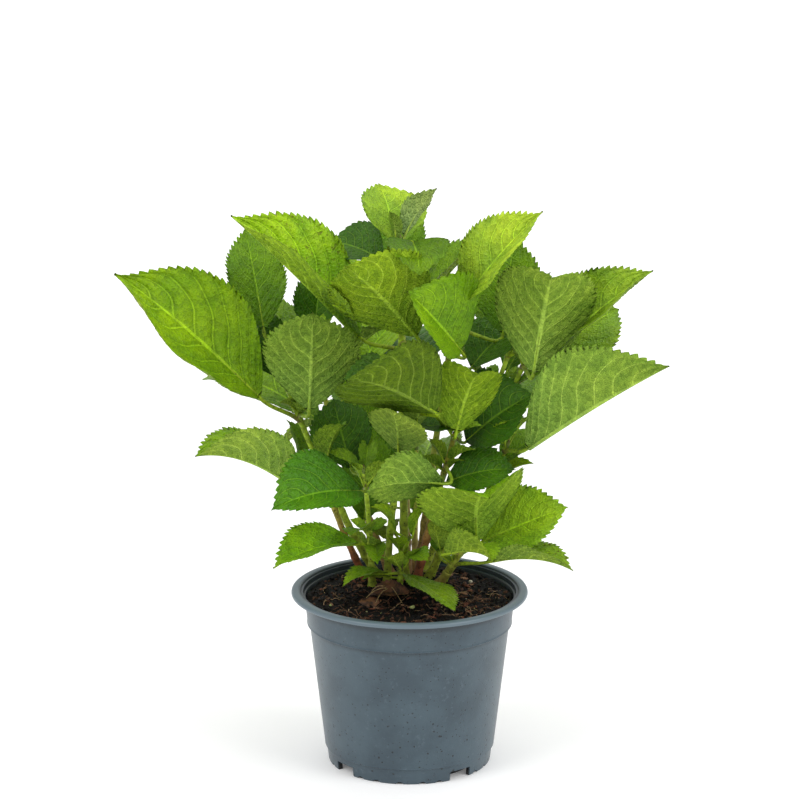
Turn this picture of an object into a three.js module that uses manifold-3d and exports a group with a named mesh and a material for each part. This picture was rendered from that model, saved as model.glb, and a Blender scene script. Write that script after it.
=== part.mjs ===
// A young hydrangea shrub growing in a round nursery pot. Millimetres, +Z up.
// The origin is the middle of the pot's flat underside, and the front is at -Y.
// The shrub is a clump of leafy shoots from one crown: each shoot is a bare
// bough below and a leafy mass above, and leaves stand on the shoot in pairs.
import * as THREE from "three";
import { mergeVertices } from "three/addons/utils/BufferGeometryUtils.js";
import Module from "manifold-3d";

const wasm = await Module();
wasm.setup();

// Clearance between neighbouring solids
const GAP = 0.3;

// Pot: a moulded nursery pot, 190 across the rim
const POT_HEIGHT = 143;
const RIM_RADIUS = 95;
const RIM_WIDTH = 7.5;
const LIP_HEIGHT = 7;
const LIP_THICK = 1.8;
const COLLAR_TOP_RADIUS = 85.5;
const COLLAR_LOW_RADIUS = 82.2;
const COLLAR_LOW_Z = 115.5;
const WALL_TOP_RADIUS = 80.4;
const WALL_LOW_RADIUS = 68.4;
const FOOT_HEIGHT = 13;
const FOOT_TOP_RADIUS = 66.9;
const FOOT_LOW_RADIUS = 65.6;
const WALL_THICK = 2.2;
const FLOOR_RADIUS = 53;
const FLOOR_THICK = 3;
const GUTTER_HEIGHT = 9;
const POT_SEGMENTS = 36;
const NOTCH_WIDTH = 20;
const NOTCH_HEIGHT = 8;
const NOTCH_ANGLES = [53, 127, 233, 307];
const VENT_RADIUS = 3.2;
const VENT_SINK = 1.5;
const VENT_STEP = 17;
const VENT_OFFSETS = [-1.5, -0.5, 0.5, 1.5];
const VENT_FACINGS = [0, 90, 180, 270];

// Peat: filled to a little below the rim, with a low mound under the crown
const PEAT_Z = 134;
const MOUND_HEIGHT = 6;
const MOUND_TOP_RADIUS = 38;
const MOUND_LOW_RADIUS = 48;
const MOUND_SINK = 1;
const MOUND_CENTRE = [-3, 26];
const GROUND_Z = PEAT_Z + MOUND_HEIGHT;

// Leaf: an oval blade that narrows to a drawn-out tip
const BLADE_STATIONS = [0.03, 0.17, 0.36, 0.57, 0.77, 0.93];
const BLADE_THICKNESS_RATIO = 1 / 62;
const CUPPED_ACROSS = [1, 0.5, 0, -0.5, -1];
const FOLDED_ACROSS = [1, 0, -1];
const MIDRIB_STEPS = 32;
const PETIOLE_RADIUS = 1.9;
const PETIOLE_SIDES = 3;
const PETIOLE_STEPS = 2;
const PETIOLE_SINK = 0.1;
const LIMB_TURN = 0.17;
const STEM_SIDES = 6;
const STEM_STEPS = 5;

// Seeded leaves: sizes from the lowest pair to the highest, and clearances
const SEEDED_LONG = [112, 72];
const SEEDED_RISE = [12, 58];
const SAMPLE_STATIONS = [0.05, 0.17, 0.29, 0.41, 0.53, 0.65, 0.77, 0.89, 1];
const SAMPLE_ACROSS = [-1, -0.67, -0.33, 0, 0.33, 0.67, 1];
const STEM_SAMPLES = 24;
const LEAF_CLEAR = 7;
const STEM_CLEAR = 5;
const LOWEST_LEAF_Z = 148;

const LEAF_DEFAULTS = {
  long: 95,
  wide: 60,
  roll: 0,
  fold: 22,
  cup: 0,
  bend: 40,
  hook: 1.6,
  stalk: 24,
  rise: 40,
  turn: 0,
};

// Shoots. foot and top are where the stem leaves the peat and where it ends;
// lean and climb bow it; thick is its radius at foot and top; bare is the part
// below the leaves. A leaf row gives its place along the stem (at), the way
// its blade points (az round from +X, el above level), its size and its form.
const SHOOTS = [
  {
    name: "left",
    foot: [-26, 40],
    top: [-106, 4, 335],
    lean: 0.55,
    climb: 0.42,
    thick: [3.4, 1.9],
    bare: 0.55,
    leaves: [
      { at: 0.74, az: 190, el: 43, long: 155, wide: 101, roll: -51, fold: 10, cup: 48, bend: 18,
        stalk: 40, turn: 11, rise: 33 },
      { at: 0.76, az: 278, el: 71, long: 92, wide: 78, roll: -8, fold: 11, bend: 33, stalk: 28,
        turn: 12, rise: 22 },
      { at: 0.97, az: 109, el: 55, long: 90, wide: 51, roll: 3, fold: 11, bend: 11, stalk: 28,
        turn: 35, rise: 59 },
      { at: 0.86, az: 140, el: 43, long: 62, wide: 54, roll: -20, bend: 39, stalk: 16, turn: 1,
        rise: 38 },
    ],
  },
  {
    name: "lower_left",
    foot: [-35, 30],
    top: [-72, -2, 250],
    lean: 0.65,
    climb: 0.5,
    thick: [3, 1.7],
    bare: 0.6,
    leaves: [
      { at: 0.75, az: 200, el: 22, long: 89, wide: 88, roll: 14, fold: 33, cup: 6, bend: 43,
        stalk: 38, turn: 26, rise: 16 },
      { at: 0.95, az: 313, el: 55, long: 43, wide: 32, fold: 28, bend: 52, stalk: 8, turn: 2,
        rise: 44 },
      { at: 0.81, az: 150, el: 71, long: 40, wide: 24, roll: 1, fold: 20, bend: 52, stalk: 32,
        turn: -17, rise: 14 },
    ],
  },
  {
    name: "low_left",
    foot: [-30, 14],
    top: [-36, -4, 240],
    lean: 0.3,
    climb: 0.5,
    thick: [2.8, 1.6],
    bare: 0.22,
    leaves: [
      { at: 0.86, az: 215, el: -1, long: 85, wide: 73, roll: -30, fold: 26, bend: 45, stalk: 30,
        turn: 49, rise: 12 },
      { at: 0.3, az: 219, el: -3, long: 86, wide: 50, roll: -14, fold: 28, bend: 36, stalk: 23,
        turn: 23, rise: 33 },
      { at: 0.97, az: 119, el: 59, long: 60, wide: 52, roll: -28, fold: 14, bend: 46, stalk: 17,
        turn: 12, rise: 9 },
      { at: 0.42, az: 77, el: 66, long: 75, wide: 48, roll: 15, fold: 18, bend: 50, stalk: 30,
        turn: 23, rise: 11 },
      { at: 0.45, az: 250, el: 10, long: 42, wide: 28, roll: 16, fold: 18, bend: 32, stalk: 12,
        turn: 21, rise: 32 },
      { at: 0.36, az: 273, el: -8, long: 37, wide: 20, roll: 7, fold: 29, bend: 44, stalk: 13,
        turn: 17, rise: 14 },
    ],
  },
  {
    name: "front_centre",
    foot: [-18, 16],
    top: [4, -22, 296],
    lean: 0.05,
    climb: 0.5,
    thick: [3.2, 1.8],
    bare: 0.45,
    leaves: [
      { at: 0.98, az: 215, el: 24, long: 93, wide: 99, roll: 42, fold: 17, stalk: 27, turn: 97,
        rise: 12 },
      { at: 0.97, az: 197, el: 17, long: 52, wide: 52, roll: -30, fold: 18, bend: 50, stalk: 19,
        turn: -60, rise: 55 },
      { at: 0.8, az: 257, el: 58, long: 50, wide: 54, roll: -17, fold: 18, cup: -30, bend: 34,
        stalk: 15, turn: -8, rise: -12 },
      { at: 0.85, az: 282, el: 46, long: 33, wide: 26, fold: 18, stalk: 13, turn: 30 },
      { at: 0.88, az: 7, el: -1, long: 35, wide: 33, roll: 16, fold: 14, bend: 28, stalk: 5,
        turn: -10, rise: 28 },
    ],
  },
  {
    name: "centre",
    foot: [-4, 36],
    top: [-8, 2, 426],
    lean: 0.3,
    climb: 0.5,
    thick: [3.8, 1.9],
    bare: 0.55,
    leaves: [
      { at: 0.97, az: 113, el: 50, long: 57, wide: 63, roll: 12, fold: 15, bend: 25, stalk: 7,
        turn: 5, rise: 39 },
      { at: 0.98, az: 345, el: 56, long: 48, wide: 28, roll: -36, bend: 31, stalk: 10, turn: 42,
        rise: 70 },
      { at: 0.99, az: 236, el: 69, long: 28, wide: 13, stalk: 6 },
      { at: 0.95, az: 278, el: -27, long: 43, wide: 55, roll: -2, fold: 25, bend: 50, stalk: 27,
        turn: 21, rise: 41 },
      { at: 0.7, az: 218, el: 43, long: 97, wide: 89, roll: 47, fold: 20, bend: 33, hook: 1.3,
        stalk: 47, turn: 68, rise: 20 },
      { at: 0.68, az: 195, el: 45, long: 147, wide: 93, roll: -27, fold: 42, bend: 6, stalk: 36,
        turn: 2, rise: 22 },
      { at: 0.85, az: 144, el: 8, long: 55, wide: 51, roll: -26, fold: 19, stalk: 31, turn: -11,
        rise: 49 },
    ],
  },
  {
    name: "upper_right",
    foot: [7, 38],
    top: [38, 4, 378],
    lean: 0.4,
    climb: 0.5,
    thick: [3.4, 1.8],
    bare: 0.55,
    leaves: [
      { at: 0.98, az: 339, el: 50, long: 107, wide: 63, roll: 52, fold: 30, bend: 17, stalk: 14,
        turn: -65, rise: 9 },
      { at: 0.9, az: 64, el: 73, long: 79, roll: 13, fold: 17, bend: 35, stalk: 42, turn: -47,
        rise: -9 },
      { at: 0.8, az: 206, el: 48, long: 71, wide: 94, roll: -58, fold: 31, bend: 10, stalk: 48,
        turn: 76, rise: 19 },
      { at: 0.75, az: 32, el: 31, long: 50, wide: 52, roll: 22, fold: 23, bend: 52, stalk: 20,
        turn: -39, rise: 11 },
    ],
  },
  {
    name: "right",
    foot: [16, 36],
    top: [92, 8, 330],
    lean: 0.45,
    climb: 0.45,
    thick: [3.4, 1.8],
    bare: 0.6,
    leaves: [
      { at: 0.97, az: 284, el: 62, long: 99, wide: 92, roll: -18, fold: 30, bend: 75, stalk: 30,
        rise: 2 },
      { at: 0.99, az: 340, el: 42, long: 120, wide: 68, roll: 44, fold: 27, cup: 20, bend: 13,
        stalk: 16, turn: 44, rise: -3 },
      { at: 0.88, az: 22, el: 29, long: 73, wide: 80, roll: 32, fold: 17, bend: 34, stalk: 37,
        turn: 8, rise: 33 },
    ],
  },
  {
    name: "far_right",
    foot: [26, 24],
    top: [76, -8, 262],
    lean: 0.5,
    climb: 0.4,
    thick: [3.2, 1.7],
    bare: 0.6,
    leaves: [
      { at: 0.98, az: 349, el: 33, long: 134, wide: 107, roll: -29, fold: 47, bend: 7, stalk: 22,
        turn: -30, rise: 14 },
      { at: 0.86, az: 35, el: 21, long: 46, wide: 36, roll: 10, bend: 45, stalk: 6, turn: 2,
        rise: 43 },
      { at: 0.78, az: 357, el: 26, long: 33, wide: 25, roll: 7, bend: 45, stalk: 5, turn: -17,
        rise: 27 },
    ],
  },
  {
    name: "front_right",
    foot: [5, 20],
    top: [36, -14, 276],
    lean: 0.4,
    climb: 0.45,
    thick: [3.6, 1.8],
    bare: 0.6,
    leaves: [
      { at: 0.97, az: 352, el: 37, long: 68, wide: 84, roll: 40, fold: 20, bend: 27, stalk: 15,
        turn: 54, rise: -23 },
      { at: 0.96, az: 299, el: 58, long: 65, wide: 61, roll: -27, fold: 30, bend: 91, hook: 1,
        stalk: 23, turn: -24, rise: 27 },
      { at: 0.75, az: 354, el: 12, long: 57, wide: 49, roll: 36, fold: 14, bend: 44, stalk: 15,
        turn: -79, rise: -12 },
      { at: 0.8, az: 199, el: -1, long: 65, wide: 59, roll: 60, fold: 12, bend: 43, stalk: 37,
        turn: 68, rise: -7 },
    ],
  },
  {
    name: "low_right",
    foot: [20, 12],
    top: [48, -18, 196],
    lean: 0.5,
    climb: 0.3,
    thick: [3.8, 1.8],
    bare: 0.4,
    leaves: [
      { at: 0.95, az: 280, el: 45, long: 74, wide: 96, roll: 11, fold: 20, bend: 92, stalk: 13,
        turn: 21, rise: -18 },
      { at: 0.85, az: 346, el: 26, long: 79, wide: 64, roll: 46, fold: 15, bend: 12, stalk: 15,
        turn: 43, rise: -7 },
      { at: 0.5, az: 331, el: 3, long: 77, wide: 45, roll: -9, fold: 33, bend: 36, stalk: 38,
        turn: -14, rise: 17 },
      { at: 0.7, az: 313, el: 6, long: 56, wide: 46, roll: -28, fold: 36, bend: 43, stalk: 29,
        turn: -69, rise: 15 },
      { at: 0.5, az: 212, el: 67, long: 29, wide: 19, roll: 27, fold: 17, bend: 37, stalk: 18,
        turn: 4, rise: 53 },
      { at: 0.47, az: 102, el: 53, long: 26, wide: 15, roll: -19, fold: 18, bend: 42, stalk: 23,
        turn: 14, rise: 16 },
    ],
  },
  {
    name: "low_front",
    foot: [-8, 2],
    top: [-7, 0, 158],
    lean: 0.5,
    climb: 0.5,
    thick: [2.2, 1.6],
    bare: 0.4,
    leaves: [
      { at: 0.9, az: 301, el: -7, long: 80, wide: 38, roll: -12, fold: 8, bend: 16, stalk: 4,
        rise: 0 },
      { at: 0.85, az: 221, el: -1, long: 48, wide: 24, stalk: 10, turn: -40, rise: 0 },
      { at: 0.6, az: 200, el: 0, long: 26, wide: 12, stalk: 8, turn: -50, rise: 0 },
    ],
  },
  {
    name: "young",
    foot: [-8, 24],
    top: [-1, 0, 184],
    lean: 0.4,
    climb: 0.6,
    thick: [2, 1.4],
    bare: 0.3,
    leaves: [
      { at: 0.97, az: 196, el: 45, long: 30, wide: 19, roll: -16, fold: 29, bend: 52, stalk: 13,
        turn: -12 },
      { at: 0.97, az: 343, el: 59, long: 33, wide: 19, roll: -13, fold: 30, bend: 50, stalk: 5,
        rise: 49 },
      { at: 0.6, az: 258, el: 37, long: 28, wide: 17, roll: -1, bend: 42, stalk: 11, turn: -12,
        rise: 28 },
      { at: 0.75, az: 88, el: -38, long: 37, wide: 28, roll: -16, fold: 27, bend: 45, stalk: 27,
        turn: 41, rise: 28 },
      { at: 0.46, az: 294, el: 2, long: 30, wide: 19, roll: 27, fold: 15, bend: 35, stalk: 13,
        turn: 24, rise: 37 },
    ],
  },
  {
    name: "back_left",
    foot: [-16, 50],
    top: [-84, 92, 322],
    lean: 0.5,
    climb: 0.45,
    thick: [3.4, 1.8],
    bare: 0.45,
    pairs: 4,
    facing: 150,
    seed: 31,
    leaves: [
      { at: 0.58, az: 199, el: -35, long: 47, wide: 28, roll: 21, fold: 29, bend: 38, stalk: 31,
        turn: 14, rise: 57 },
    ],
  },
  {
    name: "back",
    foot: [-2, 54],
    top: [-6, 96, 366],
    lean: 0.4,
    climb: 0.5,
    thick: [3.6, 1.8],
    bare: 0.45,
    pairs: 5,
    facing: 90,
    seed: 32,
    leaves: [],
  },
  {
    name: "back_right",
    foot: [12, 50],
    top: [82, 90, 318],
    lean: 0.5,
    climb: 0.45,
    thick: [3.4, 1.8],
    bare: 0.45,
    pairs: 4,
    facing: 40,
    seed: 33,
    leaves: [],
  },
  {
    name: "low_back",
    foot: [4, 62],
    top: [6, 116, 226],
    lean: 0.6,
    climb: 0.4,
    thick: [2.8, 1.6],
    bare: 0.35,
    pairs: 3,
    facing: 70,
    seed: 36,
    leaves: [
      { at: 0.46, az: 186, el: -17, long: 36, wide: 20, roll: -12, fold: 18, bend: 43, stalk: 18,
        turn: -20, rise: 26 },
    ],
  },
];

const COLOURS = {
  pot: 0x55626c,
  peat: 0x2a1c14,
  green: 0x6f9430,
  wood: 0x6a4a35,
  mass: 0x4f8f1e,
};

const radians = THREE.MathUtils.degToRad;

// Plain material in the part's own colour
function material(colour, roughness) {
  return new THREE.MeshStandardMaterial({ color: colour, roughness, metalness: 0 });
}

// Closed mesh to solid, with shared vertices merged
function toSolid(geometry) {
  const bare = geometry.index ? geometry.toNonIndexed() : geometry.clone();
  bare.deleteAttribute("normal");
  bare.deleteAttribute("uv");
  const merged = mergeVertices(bare, 1e-4);
  const mesh = new wasm.Mesh({
    numProp: 3,
    vertProperties: new Float32Array(merged.attributes.position.array),
    triVerts: new Uint32Array(merged.index.array),
  });
  return new wasm.Manifold(mesh);
}

// Solid back to a mesh with flat normals
function toGeometry(solid) {
  const mesh = solid.getMesh();
  const geometry = new THREE.BufferGeometry();
  geometry.setAttribute("position", new THREE.BufferAttribute(mesh.vertProperties, 3));
  geometry.setIndex(new THREE.BufferAttribute(mesh.triVerts, 1));
  geometry.computeVertexNormals();
  return geometry;
}

// Turned solid about +Z from [radius, height] pairs that start and end on the axis
function turned(profile, segments) {
  const points = profile.map(([r, z]) => new THREE.Vector2(r, z));
  const lathe = new THREE.LatheGeometry(points, segments);
  return lathe.rotateX(Math.PI / 2);
}

// Middle of a ring of points
function ringMiddle(ring) {
  return ring.reduce((sum, p) => sum.add(p), new THREE.Vector3()).divideScalar(ring.length);
}

// Closed mesh from rings of equal length, drawn in at both ends to the points given
function loft(rings, ends) {
  const size = rings[0].length;
  const positions = [];
  const index = [];
  rings.flat().forEach((p) => positions.push(p.x, p.y, p.z));
  for (let row = 0; row < rings.length - 1; row += 1) {
    for (let k = 0; k < size; k += 1) {
      const a = row * size + k;
      const b = row * size + ((k + 1) % size);
      index.push(a, b, b + size, a, b + size, a + size);
    }
  }
  ends.forEach((point, end) => {
    const hub = positions.length / 3;
    const first = end === 0 ? 0 : (rings.length - 1) * size;
    positions.push(point.x, point.y, point.z);
    for (let k = 0; k < size; k += 1) {
      const a = first + k;
      const b = first + ((k + 1) % size);
      index.push(...(end === 0 ? [hub, b, a] : [hub, a, b]));
    }
  });
  const geometry = new THREE.BufferGeometry();
  geometry.setAttribute("position", new THREE.Float32BufferAttribute(positions, 3));
  geometry.setIndex(index);
  return geometry;
}

// Tapering round limb along a list of points
function limb(points, radii, sides) {
  const last = points.length - 1;
  const start = points[1].clone().sub(points[0]).normalize();
  let side = Math.abs(start.y) < 0.7 ? new THREE.Vector3(0, 1, 0) : new THREE.Vector3(1, 0, 0);
  const rings = points.map((p, i) => {
    const ahead = points[Math.min(i + 1, last)].clone().sub(points[Math.max(i - 1, 0)]).normalize();
    side = side.clone().addScaledVector(ahead, -side.dot(ahead)).normalize();
    const other = ahead.clone().cross(side);
    return Array.from({ length: sides }, (_, k) => {
      const angle = (2 * Math.PI * (k + LIMB_TURN)) / sides;
      return p.clone()
        .addScaledVector(side, radii[i] * Math.cos(angle))
        .addScaledVector(other, radii[i] * Math.sin(angle));
    });
  });
  return loft(rings, [ringMiddle(rings[0]), ringMiddle(rings[last])]);
}

// Point on a shoot's stem, t from 0 at the peat to 1 at its end
function stemPoint(shoot, t) {
  const foot = new THREE.Vector3(shoot.foot[0], shoot.foot[1], GROUND_Z + GAP);
  const top = new THREE.Vector3(...shoot.top);
  const reach = top.clone().sub(foot);
  const bow = foot.clone().add(new THREE.Vector3(
    reach.x * shoot.lean, reach.y * shoot.lean, reach.z * shoot.climb));
  return new THREE.QuadraticBezierCurve3(foot, bow, top).getPoint(t);
}

function stemRadius(shoot, t) {
  return THREE.MathUtils.lerp(shoot.thick[0], shoot.thick[1], t);
}

// Length of stem from foot to top, for turning a gap in mm into a step in t
function stemLength(shoot) {
  return stemPoint(shoot, 0).distanceTo(stemPoint(shoot, 1));
}

// Stretch of the stem between two places; the one at the peat has a level foot
function stemSolid(shoot, from, to) {
  const points = [];
  const radii = [];
  for (let i = 0; i <= STEM_STEPS; i += 1) {
    const t = THREE.MathUtils.lerp(from, to, i / STEM_STEPS);
    points.push(stemPoint(shoot, t));
    radii.push(stemRadius(shoot, t));
  }
  const geometry = limb(points, radii, STEM_SIDES);
  if (from === 0) {
    const place = geometry.attributes.position;
    for (let k = 0; k < STEM_SIDES; k += 1) {
      place.setZ(k, GROUND_Z + GAP);
    }
    place.setZ((STEM_STEPS + 1) * STEM_SIDES, GROUND_Z + GAP);
  }
  return toSolid(geometry);
}

// Half width of the blade from base (0) to tip (1), 1 at its widest
function bladeOutline(s) {
  const egg = Math.max(Math.sin(Math.PI * Math.pow(s, 1.02)), 0);
  return Math.pow(egg, 0.85) * (1 - 0.9 * Math.pow(s, 8));
}

// Directions along the midrib, which bends down towards the tip
function midribFrame(leaf, s) {
  const pitch = -radians(leaf.bend) * Math.pow(s, leaf.hook);
  const along = new THREE.Vector3(Math.cos(pitch), 0, Math.sin(pitch));
  const up = new THREE.Vector3(-Math.sin(pitch), 0, Math.cos(pitch));
  return { along, up, left: up.clone().cross(along) };
}

// Midrib stations in the leaf's own frame, chord along +X and upper face to +Z
function midrib(leaf, stations) {
  const frames = [];
  const place = new THREE.Vector3();
  const step = 1 / MIDRIB_STEPS;
  for (let i = 0; i <= MIDRIB_STEPS; i += 1) {
    if (i > 0) {
      place.addScaledVector(midribFrame(leaf, (i - 0.5) * step).along, leaf.long * step);
    }
    frames.push({ ...midribFrame(leaf, i * step), place: place.clone() });
  }
  const chord = place.clone();
  frames.forEach((frame) => frame.place.multiplyScalar(leaf.long / chord.length()));
  const level = new THREE.Matrix4().makeRotationY(Math.atan2(chord.z, chord.x));
  frames.forEach((frame) => {
    Object.values(frame).forEach((vector) => vector.applyMatrix4(level));
  });
  return stations.map((s) => {
    const f = s * MIDRIB_STEPS;
    const i = Math.min(Math.floor(f), MIDRIB_STEPS - 1);
    const mix = (key) => frames[i][key].clone().lerp(frames[i + 1][key], f - i);
    return { place: mix("place"), along: mix("along"), up: mix("up"), left: mix("left") };
  });
}

// How the leaf's own frame stands in the shrub
function leafMatrix(leaf, base) {
  return new THREE.Matrix4().makeTranslation(base.x, base.y, base.z)
    .multiply(new THREE.Matrix4().makeRotationZ(radians(leaf.az)))
    .multiply(new THREE.Matrix4().makeRotationY(-radians(leaf.el)))
    .multiply(new THREE.Matrix4().makeRotationX(radians(leaf.roll)));
}

// Point across the folded blade: v from -1 at the right margin to 1 at the left
function acrossBlade(leaf, frame, s, v) {
  const width = (leaf.wide / 2) * bladeOutline(s);
  const fold = radians(leaf.fold);
  const cup = radians(leaf.cup);
  const q = Math.abs(v);
  const out = Math.abs(cup) < 1e-3
    ? width * q * Math.cos(fold)
    : (width / cup) * (Math.sin(fold + cup * q) - Math.sin(fold));
  const lift = Math.abs(cup) < 1e-3
    ? width * q * Math.sin(fold)
    : (width / cup) * (Math.cos(fold) - Math.cos(fold + cup * q));
  return frame.place.clone()
    .addScaledVector(frame.left, Math.sign(v) * out)
    .addScaledVector(frame.up, lift);
}

// Lens-thick blade from just inside the petiole to the tip
function bladeSolid(leaf, base) {
  const thick = leaf.long * BLADE_THICKNESS_RATIO;
  const matrix = leafMatrix(leaf, base);
  const across = leaf.cup === 0 ? FOLDED_ACROSS : CUPPED_ACROSS;
  const rings = midrib(leaf, BLADE_STATIONS).map((frame, i) => {
    const s = BLADE_STATIONS[i];
    const half = (v) => (thick / 2) * (1 - v * v) * (1 - 0.6 * s);
    const at = (v, face) => acrossBlade(leaf, frame, s, v).addScaledVector(frame.up, face * half(v));
    const top = across.map((v) => at(v, 1));
    const under = across.slice(1, -1).reverse().map((v) => at(v, -1));
    return [...top, ...under].map((p) => p.applyMatrix4(matrix));
  });
  const ends = midrib(leaf, [0, 1]).map((frame) => frame.place.applyMatrix4(matrix));
  return toSolid(loft(rings, ends));
}

// Leaf stalk from the middle of the stem into the foot of the blade
function petiolePath(leaf, root, base) {
  const matrix = leafMatrix(leaf, base);
  const [start, inner] = midrib(leaf, [0, PETIOLE_SINK]);
  const tip = inner.place.clone().addScaledVector(inner.up, -0.3).applyMatrix4(matrix);
  const foot = start.place.clone().applyMatrix4(matrix);
  const along = tip.clone().sub(foot).normalize();
  const reach = root.distanceTo(foot);
  const lead = root.clone().lerp(foot, 0.35);
  lead.z += 0.06 * reach;
  const trail = foot.clone().addScaledVector(along, -0.35 * reach);
  const curve = new THREE.CubicBezierCurve3(root, lead, trail, foot);
  return [...curve.getPoints(PETIOLE_STEPS), tip];
}

function petioleSolid(leaf, root, base) {
  const points = petiolePath(leaf, root, base);
  const size = PETIOLE_RADIUS * Math.min(1, 0.45 + leaf.long / 180);
  const radii = points.map((_, i) => size * (1 - (0.35 * i) / (points.length - 1)));
  return toSolid(limb(points, radii, PETIOLE_SIDES));
}

// Place of the blade's foot: the stalk leaves the stem towards the blade's side
function bladeBase(leaf, root) {
  const around = radians(leaf.az + leaf.turn);
  const rise = radians(leaf.rise);
  return root.clone().add(new THREE.Vector3(
    leaf.stalk * Math.cos(rise) * Math.cos(around),
    leaf.stalk * Math.cos(rise) * Math.sin(around),
    leaf.stalk * Math.sin(rise)));
}

// Biggest piece of a fused solid, its sealed hollows filled
function wholeBody(solid) {
  const pieces = solid.decompose().sort((a, b) => b.volume() - a.volume());
  return pieces[0];
}

function fuse(solids) {
  return wholeBody(wasm.Manifold.union(solids));
}

function bough(shoot) {
  return toGeometry(stemSolid(shoot, 0, shoot.bare));
}

// Steady stream of numbers from 0 to 1 for one seed
function stream(seed) {
  let state = seed * 2654435761 % 4294967296;
  return () => {
    state = (Math.imul(state, 1664525) + 1013904223) >>> 0;
    return state / 4294967296;
  };
}

// Leaf with its place on the shoot worked out
function placedLeaf(shoot, row) {
  const leaf = { ...LEAF_DEFAULTS, ...row };
  leaf.root = stemPoint(shoot, leaf.at);
  leaf.base = bladeBase(leaf, leaf.root);
  return leaf;
}

// Points over the blade, for testing it against its neighbours
function bladeSamples(leaf) {
  const matrix = leafMatrix(leaf, leaf.base);
  return midrib(leaf, SAMPLE_STATIONS).flatMap((frame, i) => SAMPLE_ACROSS.map((v) => (
    acrossBlade(leaf, frame, SAMPLE_STATIONS[i], v).applyMatrix4(matrix))));
}

function stemSamples(shoot) {
  return Array.from({ length: STEM_SAMPLES + 1 }, (_, i) => stemPoint(shoot, i / STEM_SAMPLES));
}

function isClear(points, others, distance) {
  return points.every((p) => others.every((q) => p.distanceTo(q) > distance));
}

// Leaf of the seeded rule: pairs cross each other up the stem, and the upper
// ones are smaller and steeper
function seededLeaf(shoot, pair, side, random) {
  const height = pair / Math.max(shoot.pairs - 1, 1);
  const spread = (size) => size * (2 * random() - 1);
  const long = THREE.MathUtils.lerp(SEEDED_LONG[0], SEEDED_LONG[1], height) * (1 + spread(0.1));
  return placedLeaf(shoot, {
    at: THREE.MathUtils.lerp(shoot.bare + 0.12, 0.97, height),
    az: shoot.facing + 90 * pair + 180 * side + spread(16),
    el: THREE.MathUtils.lerp(SEEDED_RISE[0], SEEDED_RISE[1], height) + spread(8),
    long,
    wide: long * (0.64 + spread(0.05)),
    roll: spread(18),
    fold: 20 + spread(8),
    bend: 42 + spread(14),
    stalk: THREE.MathUtils.lerp(30, 12, height),
  });
}

// All leaves of the shrub by shoot: the rows first, then the seeded pairs,
// leaving out a leaf that would touch a stem or another leaf or reach the rim
function leavesByShoot() {
  const grown = new Map(SHOOTS.map((shoot) => (
    [shoot.name, shoot.leaves.map((row) => placedLeaf(shoot, row))])));
  const blades = [...grown.values()].flat().flatMap(bladeSamples);
  SHOOTS.filter((shoot) => shoot.pairs).forEach((shoot) => {
    const random = stream(shoot.seed);
    const stems = SHOOTS.filter((other) => other !== shoot).flatMap(stemSamples);
    for (let pair = 0; pair < shoot.pairs; pair += 1) {
      [0, 1].forEach((side) => {
        const leaf = seededLeaf(shoot, pair, side, random);
        const points = bladeSamples(leaf);
        const low = points.some((p) => p.z < LOWEST_LEAF_Z);
        if (!low && isClear(points, blades, LEAF_CLEAR) && isClear(points, stems, STEM_CLEAR)) {
          grown.get(shoot.name).push(leaf);
          blades.push(...points);
        }
      });
    }
  });
  return grown;
}

function mass(shoot, leaves) {
  const start = shoot.bare + GAP / stemLength(shoot);
  const solids = [stemSolid(shoot, start, 1)];
  leaves.forEach((leaf) => {
    solids.push(petioleSolid(leaf, leaf.root, leaf.base));
    solids.push(bladeSolid(leaf, leaf.base));
  });
  return toGeometry(fuse(solids));
}

// Pot walls, open gutter under the floor's edge, flat underside at z = 0
function potProfile() {
  const collarIn = COLLAR_TOP_RADIUS - WALL_THICK;
  return [
    [0, 0],
    [FLOOR_RADIUS, 0],
    [FLOOR_RADIUS + 1, GUTTER_HEIGHT],
    [FOOT_TOP_RADIUS - WALL_THICK - 0.3, GUTTER_HEIGHT],
    [FOOT_LOW_RADIUS - WALL_THICK, 0],
    [FOOT_LOW_RADIUS - 0.8, 0],
    [FOOT_LOW_RADIUS, 0.8],
    [FOOT_TOP_RADIUS, FOOT_HEIGHT - 0.8],
    [WALL_LOW_RADIUS, FOOT_HEIGHT],
    [WALL_TOP_RADIUS, COLLAR_LOW_Z - 0.6],
    [COLLAR_LOW_RADIUS, COLLAR_LOW_Z],
    [COLLAR_TOP_RADIUS, POT_HEIGHT - LIP_THICK],
    [RIM_RADIUS - LIP_THICK, POT_HEIGHT - LIP_THICK],
    [RIM_RADIUS - LIP_THICK, POT_HEIGHT - LIP_HEIGHT],
    [RIM_RADIUS - 0.5, POT_HEIGHT - LIP_HEIGHT],
    [RIM_RADIUS, POT_HEIGHT - LIP_HEIGHT + 1],
    [RIM_RADIUS, POT_HEIGHT - 1.5],
    [RIM_RADIUS - 1.5, POT_HEIGHT],
    [RIM_RADIUS - RIM_WIDTH, POT_HEIGHT],
    [collarIn, POT_HEIGHT - 3],
    [COLLAR_LOW_RADIUS - WALL_THICK, COLLAR_LOW_Z + 2],
    [WALL_TOP_RADIUS - WALL_THICK, COLLAR_LOW_Z],
    [WALL_LOW_RADIUS - WALL_THICK, FOOT_HEIGHT],
    [FOOT_TOP_RADIUS - WALL_THICK, GUTTER_HEIGHT + FLOOR_THICK],
    [FLOOR_RADIUS - 1, GUTTER_HEIGHT + FLOOR_THICK],
    [FLOOR_RADIUS - 2, FLOOR_THICK],
    [0, FLOOR_THICK],
  ];
}

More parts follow.
